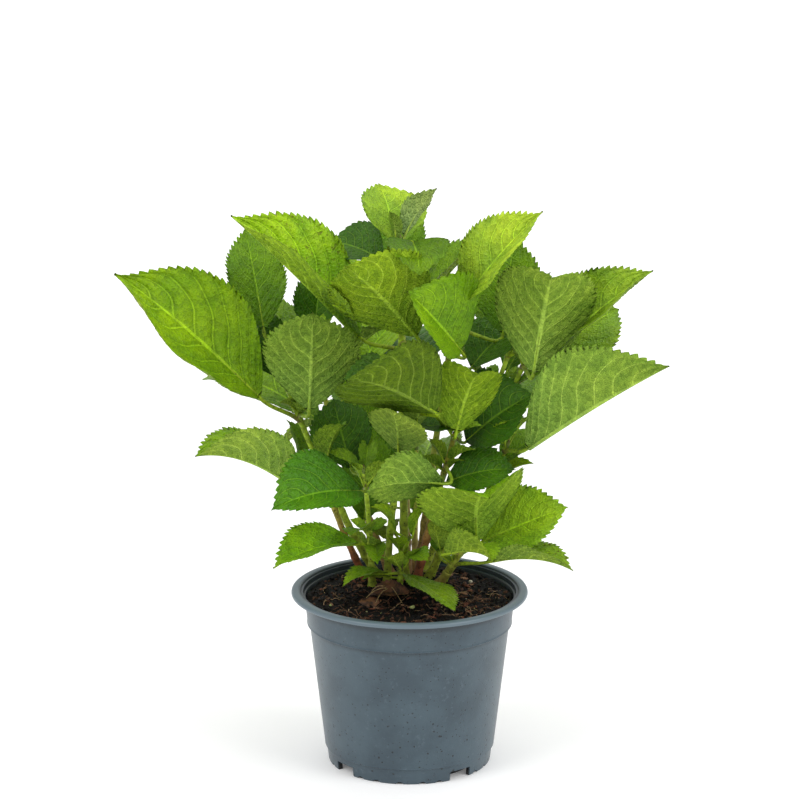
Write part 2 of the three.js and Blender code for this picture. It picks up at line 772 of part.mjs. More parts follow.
// Drain notches through the foot ring, and shallow vents along its lower edge
function footCuts() {
  const cuts = NOTCH_ANGLES.map((angle) => {
    const notch = new THREE.BoxGeometry(NOTCH_WIDTH, 8, NOTCH_HEIGHT + 2);
    notch.translate(0, -FOOT_LOW_RADIUS, NOTCH_HEIGHT / 2 - 1);
    return notch.rotateZ(radians(angle));
  });
  VENT_FACINGS.forEach((facing) => {
    VENT_OFFSETS.forEach((offset) => {
      const vent = new THREE.CylinderGeometry(VENT_RADIUS, VENT_RADIUS, 8, 12);
      vent.translate(0, -FOOT_LOW_RADIUS, VENT_SINK - VENT_RADIUS);
      cuts.push(vent.rotateZ(radians(facing + offset * VENT_STEP)));
    });
  });
  return cuts.map(toSolid);
}

function pot() {
  const body = toSolid(turned(potProfile(), POT_SEGMENTS));
  return toGeometry(wholeBody(body.subtract(wasm.Manifold.union(footCuts()))));
}

// Peat fill, clear of the walls and the floor all round
function peat() {
  const side = (radius) => radius - WALL_THICK - GAP;
  const slope = (WALL_TOP_RADIUS - WALL_LOW_RADIUS) / (COLLAR_LOW_Z - FOOT_HEIGHT);
  const fill = toSolid(turned([
    [0, FLOOR_THICK + GAP],
    [FLOOR_RADIUS - 2 - GAP, FLOOR_THICK + GAP],
    [FLOOR_RADIUS - 1 - GAP, GUTTER_HEIGHT + FLOOR_THICK + GAP],
    [side(WALL_LOW_RADIUS) - 2, GUTTER_HEIGHT + FLOOR_THICK + GAP],
    [side(WALL_LOW_RADIUS), FOOT_HEIGHT + 2],
    [side(WALL_TOP_RADIUS) - slope, COLLAR_LOW_Z - 1],
    [side(WALL_TOP_RADIUS), PEAT_Z],
    [0, PEAT_Z],
  ], POT_SEGMENTS));
  const rise = MOUND_HEIGHT + MOUND_SINK;
  const mound = new THREE.CylinderGeometry(MOUND_TOP_RADIUS, MOUND_LOW_RADIUS, rise, POT_SEGMENTS);
  mound.rotateX(Math.PI / 2);
  mound.translate(MOUND_CENTRE[0], MOUND_CENTRE[1], GROUND_Z - rise / 2);
  return toGeometry(fill.add(toSolid(mound)));
}

function addNode(group, name, geometry, look) {
  const mesh = new THREE.Mesh(geometry, look);
  mesh.name = name;
  group.add(mesh);
}

function shrub() {
  const group = new THREE.Group();
  addNode(group, "pot", pot(), material(COLOURS.pot, 0.6));
  addNode(group, "peat", peat(), material(COLOURS.peat, 0.95));
  const leaves = leavesByShoot();
  SHOOTS.forEach((shoot) => {
    addNode(group, `bough_${shoot.name}`, bough(shoot), material(COLOURS.wood, 0.8));
    addNode(group, `mass_${shoot.name}`, mass(shoot, leaves.get(shoot.name)), material(COLOURS.mass, 0.6));
  });
  return group;
}

export default shrub();
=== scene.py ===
# A young hydrangea shrub in a round nursery pot: its looks, round the imported model.
# Sizes are in millimetres, as in the part's source, and meshes are made in metres.
# Front is at -Y. The shoots and the leaf rule are those of the part's source, with painted light
# and shade for each leaf, a bark for each shoot and small young leaves added.
import itertools
import math

import bmesh
import bpy
import numpy as np
from mathutils import Matrix, Vector, noise

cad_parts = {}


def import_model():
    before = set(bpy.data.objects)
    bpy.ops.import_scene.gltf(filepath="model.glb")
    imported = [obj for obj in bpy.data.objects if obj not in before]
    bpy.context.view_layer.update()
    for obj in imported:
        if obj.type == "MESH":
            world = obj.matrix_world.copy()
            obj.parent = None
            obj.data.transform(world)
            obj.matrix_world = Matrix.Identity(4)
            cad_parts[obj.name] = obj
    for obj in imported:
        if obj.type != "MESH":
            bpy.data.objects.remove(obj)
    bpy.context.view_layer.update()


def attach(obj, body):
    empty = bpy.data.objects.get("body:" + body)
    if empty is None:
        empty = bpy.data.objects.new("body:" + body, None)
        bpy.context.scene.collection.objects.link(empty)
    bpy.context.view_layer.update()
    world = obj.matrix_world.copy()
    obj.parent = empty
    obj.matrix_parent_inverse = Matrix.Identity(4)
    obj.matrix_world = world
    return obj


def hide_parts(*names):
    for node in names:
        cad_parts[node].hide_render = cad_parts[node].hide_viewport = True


MM = 0.001
X, Y, Z = range(3)
LEFT = np.array([0, 1, 0])

# Camera that the photo was taken with, as far as its pot shows
CAMERA_PLACE = (-7.7, -2531, 944)
CAMERA_PITCH = 14.3
CAMERA_LENS = 148.5
CAMERA_SENSOR = 36
CAMERA_CLIP = (0.1, 50)

# Pot, turned from these radii and heights: the source's pot with finer rounding and, as the
# photo shows, with a thinner lip and a thicker foot ring
POT_PROFILE = [
    (0, 0), (53, 0), (54, 9), (62.2, 9), (61.0, 0), (64.6, 0), (65.2, 0.3), (65.6, 1.0),
    (66.8, 12.0), (67.0, 12.6), (67.7, 13.0), (68.4, 13.4), (80.3, 114.4), (80.6, 114.9),
    (82.0, 115.2), (82.5, 115.6), (82.6, 116.1), (82.3, 116.8), (82.4, 118), (83.0, 124),
    (84.9, 138), (85.5, 141.2), (93.2, 141.2), (93.4, 141.0), (93.5, 139.5), (93.8, 139.3),
    (94.4, 139.4), (94.8, 139.8), (95.0, 140.5), (94.9, 141.4), (94.5, 142.2), (93.8, 142.7),
    (92.8, 143.0), (90.2, 143.0), (88.9, 142.9), (88.1, 142.6), (87.6, 142.0), (87.4, 141.0),
    (87.2, 138.8), (86.8, 138.2), (84.4, 137.9), (83.7, 137.6), (83.3, 136.8), (80.2, 117.5),
    (78.2, 115.5), (66.2, 13.0), (64.7, 12.0), (52.0, 12.0), (51.0, 3.0), (0, 3),
]
POT_SEGMENTS = 180
POT_SHARP_ANGLE = 28

# Notches through the foot ring: their width and height, and their angles from the front
FOOT_RADIUS = 65.6
NOTCH_SIZE = (20, 8)
NOTCH_DEPTH = 12
NOTCH_BELOW = 2
NOTCH_ANGLES = (38, 128, 218, 308)

# Shallow round vents in the foot ring: the height of their tops, and their places in steps to
# either side of four facings
VENT_RADIUS = 3.3
VENT_TOP = 2.2
VENT_DEPTH = 2.4
VENT_SIDES = 24
VENT_STEP = 16
VENT_PLACES = (-1.85, -1.05, 0, 1, 1.75)
VENT_FACINGS = (-7, 83, 173, 263)

# Peat: a little below the rim, with a low mound under the shoots
PEAT_Z = 135.4
MOUND_HEIGHT = 4.6
MOUND_RADII = (36, 50)
MOUND_CENTRE = (-3, 26)
GROUND_Z = PEAT_Z + MOUND_HEIGHT
PEAT_REACH = 82.6
PEAT_SIDE = [(50.6, 3.3), (51.6, 12.3), (66.0, 14), (77.9, 115.0), (80.0, 118)]
PEAT_RINGS = 76
PEAT_SECTORS = 210
GAP = 0.3

# Midrib, and the teeth of the margin: each has three rows, with their places in it and how far
# they stand out
MIDRIB_STEPS = 32
TOOTH_PITCH = 3.6
TOOTH_COUNTS = (6, 30)
TOOTH_ROWS = ((0.0, 0.0), (0.5, 0.66), (0.9, 1.0))
TOOTH_DEPTH = 2.3
TOOTH_FORWARD = 0.8
FULL_TOOTH_LONG = 95

# Columns of one half of a blade, from the midrib (0) to the margin (1)
MIDRIB_COLUMNS = (0, 0.03, 0.075)
INNER_COLUMNS = (0.14, 0.92)
MARGIN_COLUMNS = (0.965, 1)
COLUMN_PITCH = 2.0
COLUMN_COUNTS = (4, 22)

# Side veins, and the relief of the blade as parts of its length
VEIN_PAIRS = 8.6
VEIN_CROWDING = 0.74
VEIN_LEAN = 0.22
VEIN_ARCH = 0.16
CELL_SIZE = 4.6
PUCKER = 0.0085
QUILT = 0.005
RIPPLE = 0.012
GROOVE = 0.006
RIB = 0.016
BRANCH = 0.004
BLADE_THICKNESS = 0.009

# Seeded leaves, from the lowest pair of a shoot to its highest
SEEDED_AT = (0.12, 0.97)
SEEDED_LONG = (112, 72)
SEEDED_WIDTH = 0.64
SEEDED_RISE = (12, 58)
SEEDED_STALK = (30, 12)

# Small young leaves in the axils of the low leaves that are long enough
YOUNG_LONG = (17, 36)
YOUNG_WIDTH = 0.56
YOUNG_RISE = (15, 60)
YOUNG_LIGHT = (0.9, 1.4)
YOUNG_TURN = 50
YOUNG_BELOW_Z = 330
AXIL_LEAF_LONG = 50

# Points of a plain blade and of a stem that are tried for clearance
SAMPLE_STATIONS = (0.05, 0.17, 0.29, 0.41, 0.53, 0.65, 0.77, 0.89, 1)
SAMPLE_ACROSS = (-1, -0.67, -0.33, 0, 0.33, 0.67, 1)
STEM_SAMPLES = 24
LEAF_CLEAR = 7
STEM_CLEAR = 5
LOWEST_LEAF_Z = 148

# Upper and lower base colours of a leaf, dealt out leaf by leaf (linear values),
# and how much its upper side is spotted with brown
TONES = {
    "bright": ((0.188, 0.37, 0.004), (0.23, 0.345, 0.022), 0.0),
    "fresh": ((0.160, 0.30, 0.013), (0.22, 0.34, 0.022), 0.0),
    "mid": ((0.105, 0.225, 0.004), (0.19, 0.30, 0.018), 0.0),
    "deep": ((0.040, 0.125, 0.003), (0.15, 0.25, 0.015), 0.0),
    "blue": ((0.06, 0.16, 0.015), (0.17, 0.27, 0.05), 0.0),
    "sage": ((0.13, 0.27, 0.006), (0.21, 0.34, 0.036), 0.0),
    "gold": ((0.185, 0.34, 0.006), (0.205, 0.34, 0.010), 0.0),
    "lime": ((0.255, 0.42, 0.028), (0.25, 0.37, 0.04), 0.0),
    "pale": ((0.21, 0.35, 0.02), (0.27, 0.39, 0.05), 0.0),
    "mint": ((0.15, 0.29, 0.02), (0.30, 0.44, 0.12), 0.0),
    "spotted": ((0.20, 0.35, 0.008), (0.22, 0.34, 0.015), 0.6),
    "blotched": ((0.19, 0.31, 0.012), (0.22, 0.33, 0.03), 1.0),
    "dead": ((0.10, 0.055, 0.028), (0.075, 0.042, 0.022), 0.0),
}
SEEDED_TONES = ("mid", "fresh", "deep", "mid", "bright")

# light: how much lighter or darker a leaf's colours are painted; in the listed rows it is painted light and
# shade, for the light that falls on each leaf
LEAF_FORM = dict(roll=0, fold=22, cup=0, bend=40, hook=1.6, stalk=24, rise=40, turn=0, light=1.0)


# A leaf: its tone, its place along the stem (at), the way its blade points (az round from +X,
# el above level), its length and width, and what differs from the usual form
def row(tone, at, az, el, long, wide, **form):
    return dict(LEAF_FORM, tone=tone, at=at, az=az, el=el, long=long, wide=wide, **form)


# A shoot: its name and leaves. foot and top are where the stem leaves the peat and where it
# ends, lean and climb bow it, thick is its radius at foot and top, bare is the part below the
# leaves, bark is a name in BARKS, and pairs is the number of its seeded pairs of leaves
def shoot(name, *leaves, pairs=0, facing=0, seed=0, **sizes):
    return dict(sizes, name=name, leaves=leaves, pairs=pairs, facing=facing, seed=seed)


SHOOTS = [
    shoot(
        "left",
        row("bright", 0.74, 190, 43, 155, 101, roll=-51, fold=10, cup=48, bend=18, stalk=40, turn=11,
            rise=33, light=0.88),
        row("sage", 0.76, 278, 71, 92, 78, roll=-8, fold=11, bend=33, stalk=28, turn=12, rise=22,
            light=0.96),
        row("mid", 0.97, 109, 55, 90, 51, roll=3, fold=11, bend=11, stalk=28, turn=35, rise=59, light=0.94),
        row("deep", 0.86, 140, 43, 62, 54, roll=-20, bend=39, stalk=16, turn=1, rise=38),
        foot=(-26, 40), top=(-106, 4, 335), lean=0.55, climb=0.42, thick=(3.4, 1.9), bare=0.55,
        bark="green",
    ),
    shoot(
        "lower_left",
        row("sage", 0.75, 200, 22, 89, 88, roll=14, fold=33, cup=6, bend=43, stalk=38, turn=26, rise=16,
            light=1.08),
        row("mid", 0.95, 313, 55, 43, 32, fold=28, bend=52, stalk=8, turn=2, rise=44),
        row("mid", 0.81, 150, 71, 40, 24, roll=1, fold=20, bend=52, stalk=32, turn=-17, rise=14),
        foot=(-35, 30), top=(-72, -2, 250), lean=0.65, climb=0.5, thick=(3, 1.7), bare=0.6, bark="red",
    ),
    shoot(
        "low_left",
        row("deep", 0.86, 215, -1, 85, 73, roll=-30, fold=26, bend=45, stalk=30, turn=49, rise=12,
            light=1.62),
        row("mid", 0.3, 219, -3, 86, 50, roll=-14, fold=28, bend=36, stalk=23, turn=23, rise=33, light=1.5),
        row("deep", 0.97, 119, 59, 60, 52, roll=-28, fold=14, bend=46, stalk=17, turn=12, rise=9),
        row("mid", 0.42, 77, 66, 75, 48, roll=15, fold=18, bend=50, stalk=30, turn=23, rise=11),
        row("mid", 0.45, 250, 10, 42, 28, roll=16, fold=18, bend=32, stalk=12, turn=21, rise=32),
        row("sage", 0.36, 273, -8, 37, 20, roll=7, fold=29, bend=44, stalk=13, turn=17, rise=14),
        foot=(-30, 14), top=(-36, -4, 240), lean=0.3, climb=0.5, thick=(2.8, 1.6),
        bare=0.22, bark="green",
    ),
    shoot(
        "front_centre",
        row("gold", 0.98, 215, 24, 93, 99, roll=42, fold=17, stalk=27, turn=97, rise=12, light=0.55),
        row("blue", 0.97, 197, 17, 52, 52, roll=-30, fold=18, bend=50, stalk=19, turn=-60, rise=55),
        row("pale", 0.8, 257, 58, 50, 54, roll=-17, fold=18, cup=-30, bend=34, stalk=15, turn=-8, rise=-12),
        row("pale", 0.85, 282, 46, 33, 26, fold=18, stalk=13, turn=30),
        row("deep", 0.88, 7, -1, 35, 33, roll=16, fold=14, bend=28, stalk=5, turn=-10, rise=28),
        foot=(-18, 16), top=(4, -22, 296), lean=0.05, climb=0.5, thick=(3.2, 1.8),
        bare=0.45, bark="green",
    ),
    shoot(
        "centre",
        row("pale", 0.97, 113, 50, 57, 63, roll=12, fold=15, bend=25, stalk=7, turn=5, rise=39, light=1.15),
        row("mint", 0.98, 345, 56, 48, 28, roll=-36, bend=31, stalk=10, turn=42, rise=70),
        row("pale", 0.99, 236, 69, 28, 13, stalk=6),
        row("mid", 0.95, 278, -27, 43, 55, roll=-2, fold=25, bend=50, stalk=27, turn=21, rise=41,
            light=0.8),
        row("gold", 0.7, 218, 43, 97, 89, roll=47, fold=20, bend=33, hook=1.3, stalk=47, turn=68, rise=20,
            light=1.15),
        row("spotted", 0.68, 195, 45, 147, 93, roll=-27, fold=42, bend=6, stalk=36, turn=2, rise=22,
            light=1.3),
        row("deep", 0.85, 144, 8, 55, 51, roll=-26, fold=19, stalk=31, turn=-11, rise=49),
        foot=(-4, 36), top=(-8, 2, 426), lean=0.3, climb=0.5, thick=(3.8, 1.9), bare=0.55, bark="green",
    ),
    shoot(
        "upper_right",
        row("lime", 0.98, 339, 50, 107, 63, roll=52, fold=30, bend=17, stalk=14, turn=-65, rise=9,
            light=1.22),
        row("mid", 0.9, 64, 73, 79, 60, roll=13, fold=17, bend=35, stalk=42, turn=-47, rise=-9),
        row("bright", 0.8, 206, 48, 71, 94, roll=-58, fold=31, bend=10, stalk=48, turn=76, rise=19,
            light=0.78),
        row("deep", 0.75, 32, 31, 50, 52, roll=22, fold=23, bend=52, stalk=20, turn=-39, rise=11),
        foot=(7, 38), top=(38, 4, 378), lean=0.4, climb=0.5, thick=(3.4, 1.8), bare=0.55, bark="brown",
    ),
    shoot(
        "right",
        row("sage", 0.97, 284, 62, 99, 92, roll=-18, fold=30, bend=75, stalk=30, rise=2, light=1.12),
        row("lime", 0.99, 340, 42, 120, 68, roll=44, fold=27, cup=20, bend=13, stalk=16, turn=44, rise=-3,
            light=0.92),
        row("fresh", 0.88, 22, 29, 73, 80, roll=32, fold=17, bend=34, stalk=37, turn=8, rise=33),
        foot=(16, 36), top=(92, 8, 330), lean=0.45, climb=0.45, thick=(3.4, 1.8), bare=0.6, bark="green",
    ),
    shoot(
        "far_right",
        row("sage", 0.98, 349, 33, 134, 107, roll=-29, fold=47, bend=7, stalk=22, turn=-30, rise=14),
        row("mid", 0.86, 35, 21, 46, 36, roll=10, bend=45, stalk=6, turn=2, rise=43),
        row("gold", 0.78, 357, 26, 33, 25, roll=7, bend=45, stalk=5, turn=-17, rise=27),
        foot=(26, 24), top=(76, -8, 262), lean=0.5, climb=0.4, thick=(3.2, 1.7), bare=0.6, bark="green",
    ),
    shoot(
        "front_right",
        row("deep", 0.97, 352, 37, 68, 84, roll=40, fold=20, bend=27, stalk=15, turn=54, rise=-23,
            light=0.88),
        row("gold", 0.96, 299, 58, 65, 61, roll=-27, fold=30, bend=91, hook=1, stalk=23, turn=-24, rise=27),
        row("deep", 0.75, 354, 12, 57, 49, roll=36, fold=14, bend=44, stalk=15, turn=-79, rise=-12),
        row("sage", 0.8, 199, -1, 65, 59, roll=60, fold=12, bend=43, stalk=37, turn=68, rise=-7),
        foot=(5, 20), top=(36, -14, 276), lean=0.4, climb=0.45, thick=(3.6, 1.8), bare=0.6, bark="red",
    ),
    shoot(
        "low_right",
        row("mid", 0.95, 280, 45, 74, 96, roll=11, fold=20, bend=92, stalk=13, turn=21, rise=-18,
            light=1.2),
        row("fresh", 0.85, 346, 26, 79, 64, roll=46, fold=15, bend=12, stalk=15, turn=43, rise=-7,
            light=1.5),
        row("blotched", 0.5, 331, 3, 77, 45, roll=-9, fold=33, bend=36, stalk=38, turn=-14, rise=17),
        row("fresh", 0.7, 313, 6, 56, 46, roll=-28, fold=36, bend=43, stalk=29, turn=-69, rise=15),
        row("fresh", 0.5, 212, 67, 29, 19, roll=27, fold=17, bend=37, stalk=18, turn=4, rise=53),
        row("mid", 0.47, 102, 53, 26, 15, roll=-19, fold=18, bend=42, stalk=23, turn=14, rise=16),
        foot=(20, 12), top=(48, -18, 196), lean=0.5, climb=0.3, thick=(3.8, 1.8), bare=0.4, bark="brown",
    ),
    shoot(
        "low_front",
        row("fresh", 0.9, 301, -7, 80, 38, roll=-12, fold=8, bend=16, stalk=4, rise=0, light=0.74),
        row("fresh", 0.85, 221, -1, 48, 24, stalk=10, turn=-40, rise=0),
        row("fresh", 0.6, 200, 0, 26, 12, stalk=8, turn=-50, rise=0),
        foot=(-8, 2), top=(-7, 0, 158), lean=0.5, climb=0.5, thick=(2.2, 1.6), bare=0.4, bark="green",
    ),
    shoot(
        "young",
        row("gold", 0.97, 196, 45, 30, 19, roll=-16, fold=29, bend=52, stalk=13, turn=-12),
        row("gold", 0.97, 343, 59, 33, 19, roll=-13, fold=30, bend=50, stalk=5, rise=49),
        row("gold", 0.6, 258, 37, 28, 17, roll=-1, bend=42, stalk=11, turn=-12, rise=28),
        row("fresh", 0.75, 88, -38, 37, 28, roll=-16, fold=27, bend=45, stalk=27, turn=41, rise=28),
        row("fresh", 0.46, 294, 2, 30, 19, roll=27, fold=15, bend=35, stalk=13, turn=24, rise=37),
        foot=(-8, 24), top=(-1, 0, 184), lean=0.4, climb=0.6, thick=(2, 1.4), bare=0.3, bark="green",
    ),
    shoot(
        "back_left",
        row("pale", 0.58, 199, -35, 47, 28, roll=21, fold=29, bend=38, stalk=31, turn=14, rise=57),
        foot=(-16, 50), top=(-84, 92, 322), lean=0.5, climb=0.45, thick=(3.4, 1.8), bare=0.45, bark="brown",
        pairs=4, facing=150, seed=31,
    ),
    shoot(
        "back",
        foot=(-2, 54), top=(-6, 96, 366), lean=0.4, climb=0.5, thick=(3.6, 1.8), bare=0.45, bark="brown",
        pairs=5, facing=90, seed=32,
    ),
    shoot(
        "back_right",
        foot=(12, 50), top=(82, 90, 318), lean=0.5, climb=0.45, thick=(3.4, 1.8), bare=0.45, bark="green",
        pairs=4, facing=40, seed=33,
    ),
    shoot(
        "low_back",
        row("pale", 0.46, 186, -17, 36, 20, roll=-12, fold=18, bend=43, stalk=18, turn=-20, rise=26),
        foot=(4, 62), top=(6, 116, 226), lean=0.6, climb=0.4, thick=(2.8, 1.6), bare=0.35, bark="brown",
        pairs=3, facing=70, seed=36,
    ),
]


def mix(a, b, t):
    return a + (b - a) * t


def smooth(edge0, edge1, x):
    t = np.clip((np.asarray(x, float) - edge0) / (edge1 - edge0), 0, 1)
    return t * t * (3 - 2 * t)


# Turn about the axis X, Y or Z
def turned(axis, degrees):
    first, second = (axis + 1) % 3, (axis + 2) % 3
    out = np.eye(3)
    out[first, first] = out[second, second] = math.cos(math.radians(degrees))
    out[second, first] = math.sin(math.radians(degrees))
    out[first, second] = -out[second, first]
    return out


def unit(v):
    v = np.asarray(v, float)
    return v / np.linalg.norm(v, axis=-1, keepdims=True)


# Meshes gathered as arrays, in millimetres, then made into one object each
class Pile:
    def __init__(self):
        self.points = []
        self.faces = {3: [], 4: []}
        self.slots = {3: [], 4: []}
        self.layers = {}
        self.values = {}
        self.sharp = []
        self.count = 0

    # corners holds values per corner of a face, in step with the faces of 4 and of 3 corners;
    # values holds colours per point, and sharp says which points lie on sharp edges
    def add(self, points, quads=(), tris=(), slots=(0, 0), corners=None, values=None, sharp=None):
        points = np.asarray(points, float)
        start = self.count
        for size, faces, slot in ((4, quads, slots[0]), (3, tris, slots[1])):
            faces = np.asarray(faces, int).reshape(-1, size)
            self.faces[size].append(faces + start)
            self.slots[size].append(np.broadcast_to(np.asarray(slot, int), (len(faces),)))
            for key, per_size in (corners or {}).items():
                self.layers.setdefault(key, {3: [], 4: []})[size].append(per_size[size])
        for key, value in (values or {}).items():
            value = np.broadcast_to(np.asarray(value, float), (len(points), 4))
            self.values.setdefault(key, []).append(value)
        self.sharp.append(np.zeros(len(points), bool) if sharp is None else sharp)
        self.points.append(points)
        self.count += len(points)

    def make(self, name, materials):
        points = np.concatenate(self.points) * MM
        quads, tris = (np.concatenate(self.faces[k]) for k in (4, 3))
        loops = np.concatenate([quads.ravel(), tris.ravel()])
        starts = np.concatenate([np.arange(len(quads)) * 4, len(quads) * 4 + np.arange(len(tris)) * 3])
        mesh = bpy.data.meshes.new(name)
        mesh.vertices.add(len(points))
        mesh.vertices.foreach_set("co", points.astype(np.float32).ravel())
        mesh.loops.add(len(loops))
        mesh.loops.foreach_set("vertex_index", loops.astype(np.int32))
        mesh.polygons.add(len(starts))
        mesh.polygons.foreach_set("loop_start", starts.astype(np.int32))
        slots = np.concatenate([*self.slots[4], *self.slots[3]])
        mesh.polygons.foreach_set("material_index", slots.astype(np.int32))
        mesh.polygons.foreach_set("use_smooth", np.ones(len(starts), bool))
        mesh.update(calc_edges=True)
        for key, sized in self.layers.items():
            values = np.concatenate([np.concatenate([v.reshape(-1, 2) for v in sized[k]]) for k in (4, 3)])
            layer = mesh.uv_layers.new(name=key)
            layer.data.foreach_set("uv", values.astype(np.float32).ravel())
        for key, values in self.values.items():
            attribute = mesh.attributes.new(key, "FLOAT_COLOR", "POINT")
            attribute.data.foreach_set("color", np.concatenate(values).astype(np.float32).ravel())
        sharp = np.concatenate(self.sharp)
        if sharp.any():
            ends = np.zeros(len(mesh.edges) * 2, np.int32)
            mesh.edges.foreach_get("vertices", ends)
            flags = sharp[ends.reshape(-1, 2)].all(axis=1)
            mesh.attributes.new("sharp_edge", "BOOLEAN", "EDGE").data.foreach_set("value", flags)
        for material in materials:
            mesh.materials.append(material)
        thing = bpy.data.objects.new(name, mesh)
        bpy.context.scene.collection.objects.link(thing)
        return thing


# Stem of a shoot (s) and its leaves, by the source's rule

def stem_foot(s):
    return np.array([*s["foot"], GROUND_Z + GAP], float)


def stem_point(s, t):
    foot, top = stem_foot(s), np.array(s["top"], float)
    reach = top - foot
    bow = foot + reach * np.array([s["lean"], s["lean"], s["climb"]])
    t = np.asarray(t, float)[..., None]
    return (1 - t) ** 2 * foot + 2 * t * (1 - t) * bow + t ** 2 * top


def stem_length(s):
    return float(np.linalg.norm(np.array(s["top"]) - stem_foot(s)))


# Half width of a blade from base (0) to tip (1), as a part of its greatest
def outline(x):
    x = np.asarray(x, float)
    egg = np.maximum(np.sin(np.pi * x ** 1.02), 0)
    return egg ** 0.85 * (1 - 0.9 * x ** 8)


# Midrib in the leaf's own frame, chord along +X and upper face to +Z: its places at the
# stations, its directions along and its directions up
def midrib(leaf, stations):
    def sloping(part):
        pitch = -math.radians(leaf["bend"]) * part ** leaf["hook"]
        return np.stack([np.cos(pitch), 0 * pitch, np.sin(pitch)], 1)

    steps = np.arange(MIDRIB_STEPS + 1) / MIDRIB_STEPS
    along = sloping(steps)
    up = along[:, ::-1] * [-1, 1, 1]
    place = np.concatenate([[[0, 0, 0]], np.cumsum(sloping((steps[1:] + steps[:-1]) / 2), 0)])
    place *= leaf["long"] / np.linalg.norm(place[-1])
    level = turned(Y, math.degrees(math.atan2(place[-1][2], place[-1][0])))
    out = []
    for values in (place @ level.T, along @ level.T, up @ level.T):
        out.append(np.stack([np.interp(stations, steps, values[:, k]) for k in range(3)], 1))
    return out


def blade_turn(leaf):
    return turned(Z, leaf["az"]) @ turned(Y, -leaf["el"]) @ turned(X, leaf["roll"])


# Across the folded blade: distance from the midrib, height above it and slope
def across(leaf, width, q):
    fold, cup = math.radians(leaf["fold"]), math.radians(leaf["cup"])
    if abs(cup) < 1e-3:
        return width * q * math.cos(fold), width * q * math.sin(fold), fold + 0 * q
    out = (width / cup) * (np.sin(fold + cup * q) - math.sin(fold))
    lift = (width / cup) * (math.cos(fold) - np.cos(fold + cup * q))
    return out, lift, fold + cup * q


def plain_blade(leaf, stations, values):
    place, _, up = midrib(leaf, stations)
    width = leaf["wide"] / 2 * outline(stations)
    v = np.asarray(values, float)[None, :]
    out, lift, _ = across(leaf, width[:, None], np.abs(v))
    points = place[:, None, :] + LEFT * (np.sign(v) * out)[..., None] + up[:, None, :] * lift[..., None]
    return points.reshape(-1, 3) @ blade_turn(leaf).T + leaf["base"]


def placed(s, leaf):
    leaf = {**leaf, "root": stem_point(s, leaf["at"])}
    around, rise = math.radians(leaf["az"] + leaf["turn"]), math.radians(leaf["rise"])
    away = [math.cos(rise) * math.cos(around), math.cos(rise) * math.sin(around), math.sin(rise)]
    leaf["base"] = leaf["root"] + leaf["stalk"] * np.array(away)
    return leaf


# Steady stream of numbers from 0 to 1 for one seed
def stream(seed):
    state = seed * 2654435761 % 4294967296
    while True:
        state = (state * 1664525 + 1013904223) % 4294967296
        yield state / 4294967296


def seeded_leaf(s, pair, side, numbers):
    height = pair / max(s["pairs"] - 1, 1)

    def spread(size):
        return size * (2 * next(numbers) - 1)

    long = mix(*SEEDED_LONG, height) * (1 + spread(0.1))
    return placed(s, row(
        SEEDED_TONES[(2 * pair + side + s["seed"]) % len(SEEDED_TONES)],
        at=mix(s["bare"] + SEEDED_AT[0], SEEDED_AT[1], height),
        az=s["facing"] + 90 * pair + 180 * side + spread(16),
        el=mix(*SEEDED_RISE, height) + spread(8),
        long=long,
        wide=long * (SEEDED_WIDTH + spread(0.05)),
        roll=spread(18),
        fold=20 + spread(8),
        bend=42 + spread(14),
        stalk=mix(*SEEDED_STALK, height),
    ))


# Steady number from 0 to 1, dealt to a whole number and the wave of a leaf
def dealt(number, wave):
    return (np.sin(12.9898 * number + 78.233 * wave) * 43758.5453) % 1


# Young leaf to one side (-1 or 1) in the axil of a low leaf
def young_leaf(s, leaf, side, wave):
    long = mix(*YOUNG_LONG, dealt(side + 3, wave))
    return placed(s, row(
        "fresh",
        at=leaf["at"],
        az=leaf["az"] + leaf["turn"] + side * YOUNG_TURN,
        el=mix(*YOUNG_RISE, dealt(side + 5, wave)),
        long=long,
        wide=YOUNG_WIDTH * long,
        roll=-side * 20,
        fold=26,
        bend=36,
        stalk=5,
        rise=60,
        turn=-side * 12,
        light=mix(*YOUNG_LIGHT, dealt(side + 7, wave)),
    ))


def is_clear(points, others, distance):
    gaps = np.linalg.norm(points[:, None, :] - np.asarray(others)[None, :, :], axis=2)
    return gaps.min() > distance


# All leaves by shoot: the rows first, then the seeded pairs, leaving out a leaf
# that would touch a stem or another leaf or reach the rim
def leaves_by_shoot():
    grown = {s["name"]: [placed(s, leaf) for leaf in s["leaves"]] for s in SHOOTS}
    leaves = [leaf for shoot_leaves in grown.values() for leaf in shoot_leaves]
    blades = [plain_blade(leaf, SAMPLE_STATIONS, SAMPLE_ACROSS) for leaf in leaves]
    marks = np.arange(STEM_SAMPLES + 1) / STEM_SAMPLES
    for s in SHOOTS:
        numbers = stream(s["seed"])
        stems = np.concatenate([stem_point(other, marks) for other in SHOOTS if other is not s])
        for pair in range(s["pairs"]):
            for side in (0, 1):
                leaf = seeded_leaf(s, pair, side, numbers)
                points = plain_blade(leaf, SAMPLE_STATIONS, SAMPLE_ACROSS)
                clear = is_clear(points, np.concatenate(blades), LEAF_CLEAR)
                if clear and is_clear(points, stems, STEM_CLEAR) and points[:, 2].min() >= LOWEST_LEAF_Z:
                    grown[s["name"]].append(leaf)
                    blades.append(points)
    return grown


# Leaf blade in full: teeth, side veins and the puckered surface between them. A leaf's wave
# is its own number, which sets its teeth and shifts its ripples, veins and tone

# Rows along the blade, each with how far its place in a tooth stands out
def blade_rows(leaf, wave):
    count = int(np.clip(round(leaf["long"] / TOOTH_PITCH), *TOOTH_COUNTS))
    rows = [((k + f) / count, out * (0.75 + 0.5 * dealt(k, wave)))
            for k in range(count) for f, out in TOOTH_ROWS]
    return np.array(rows[1:])


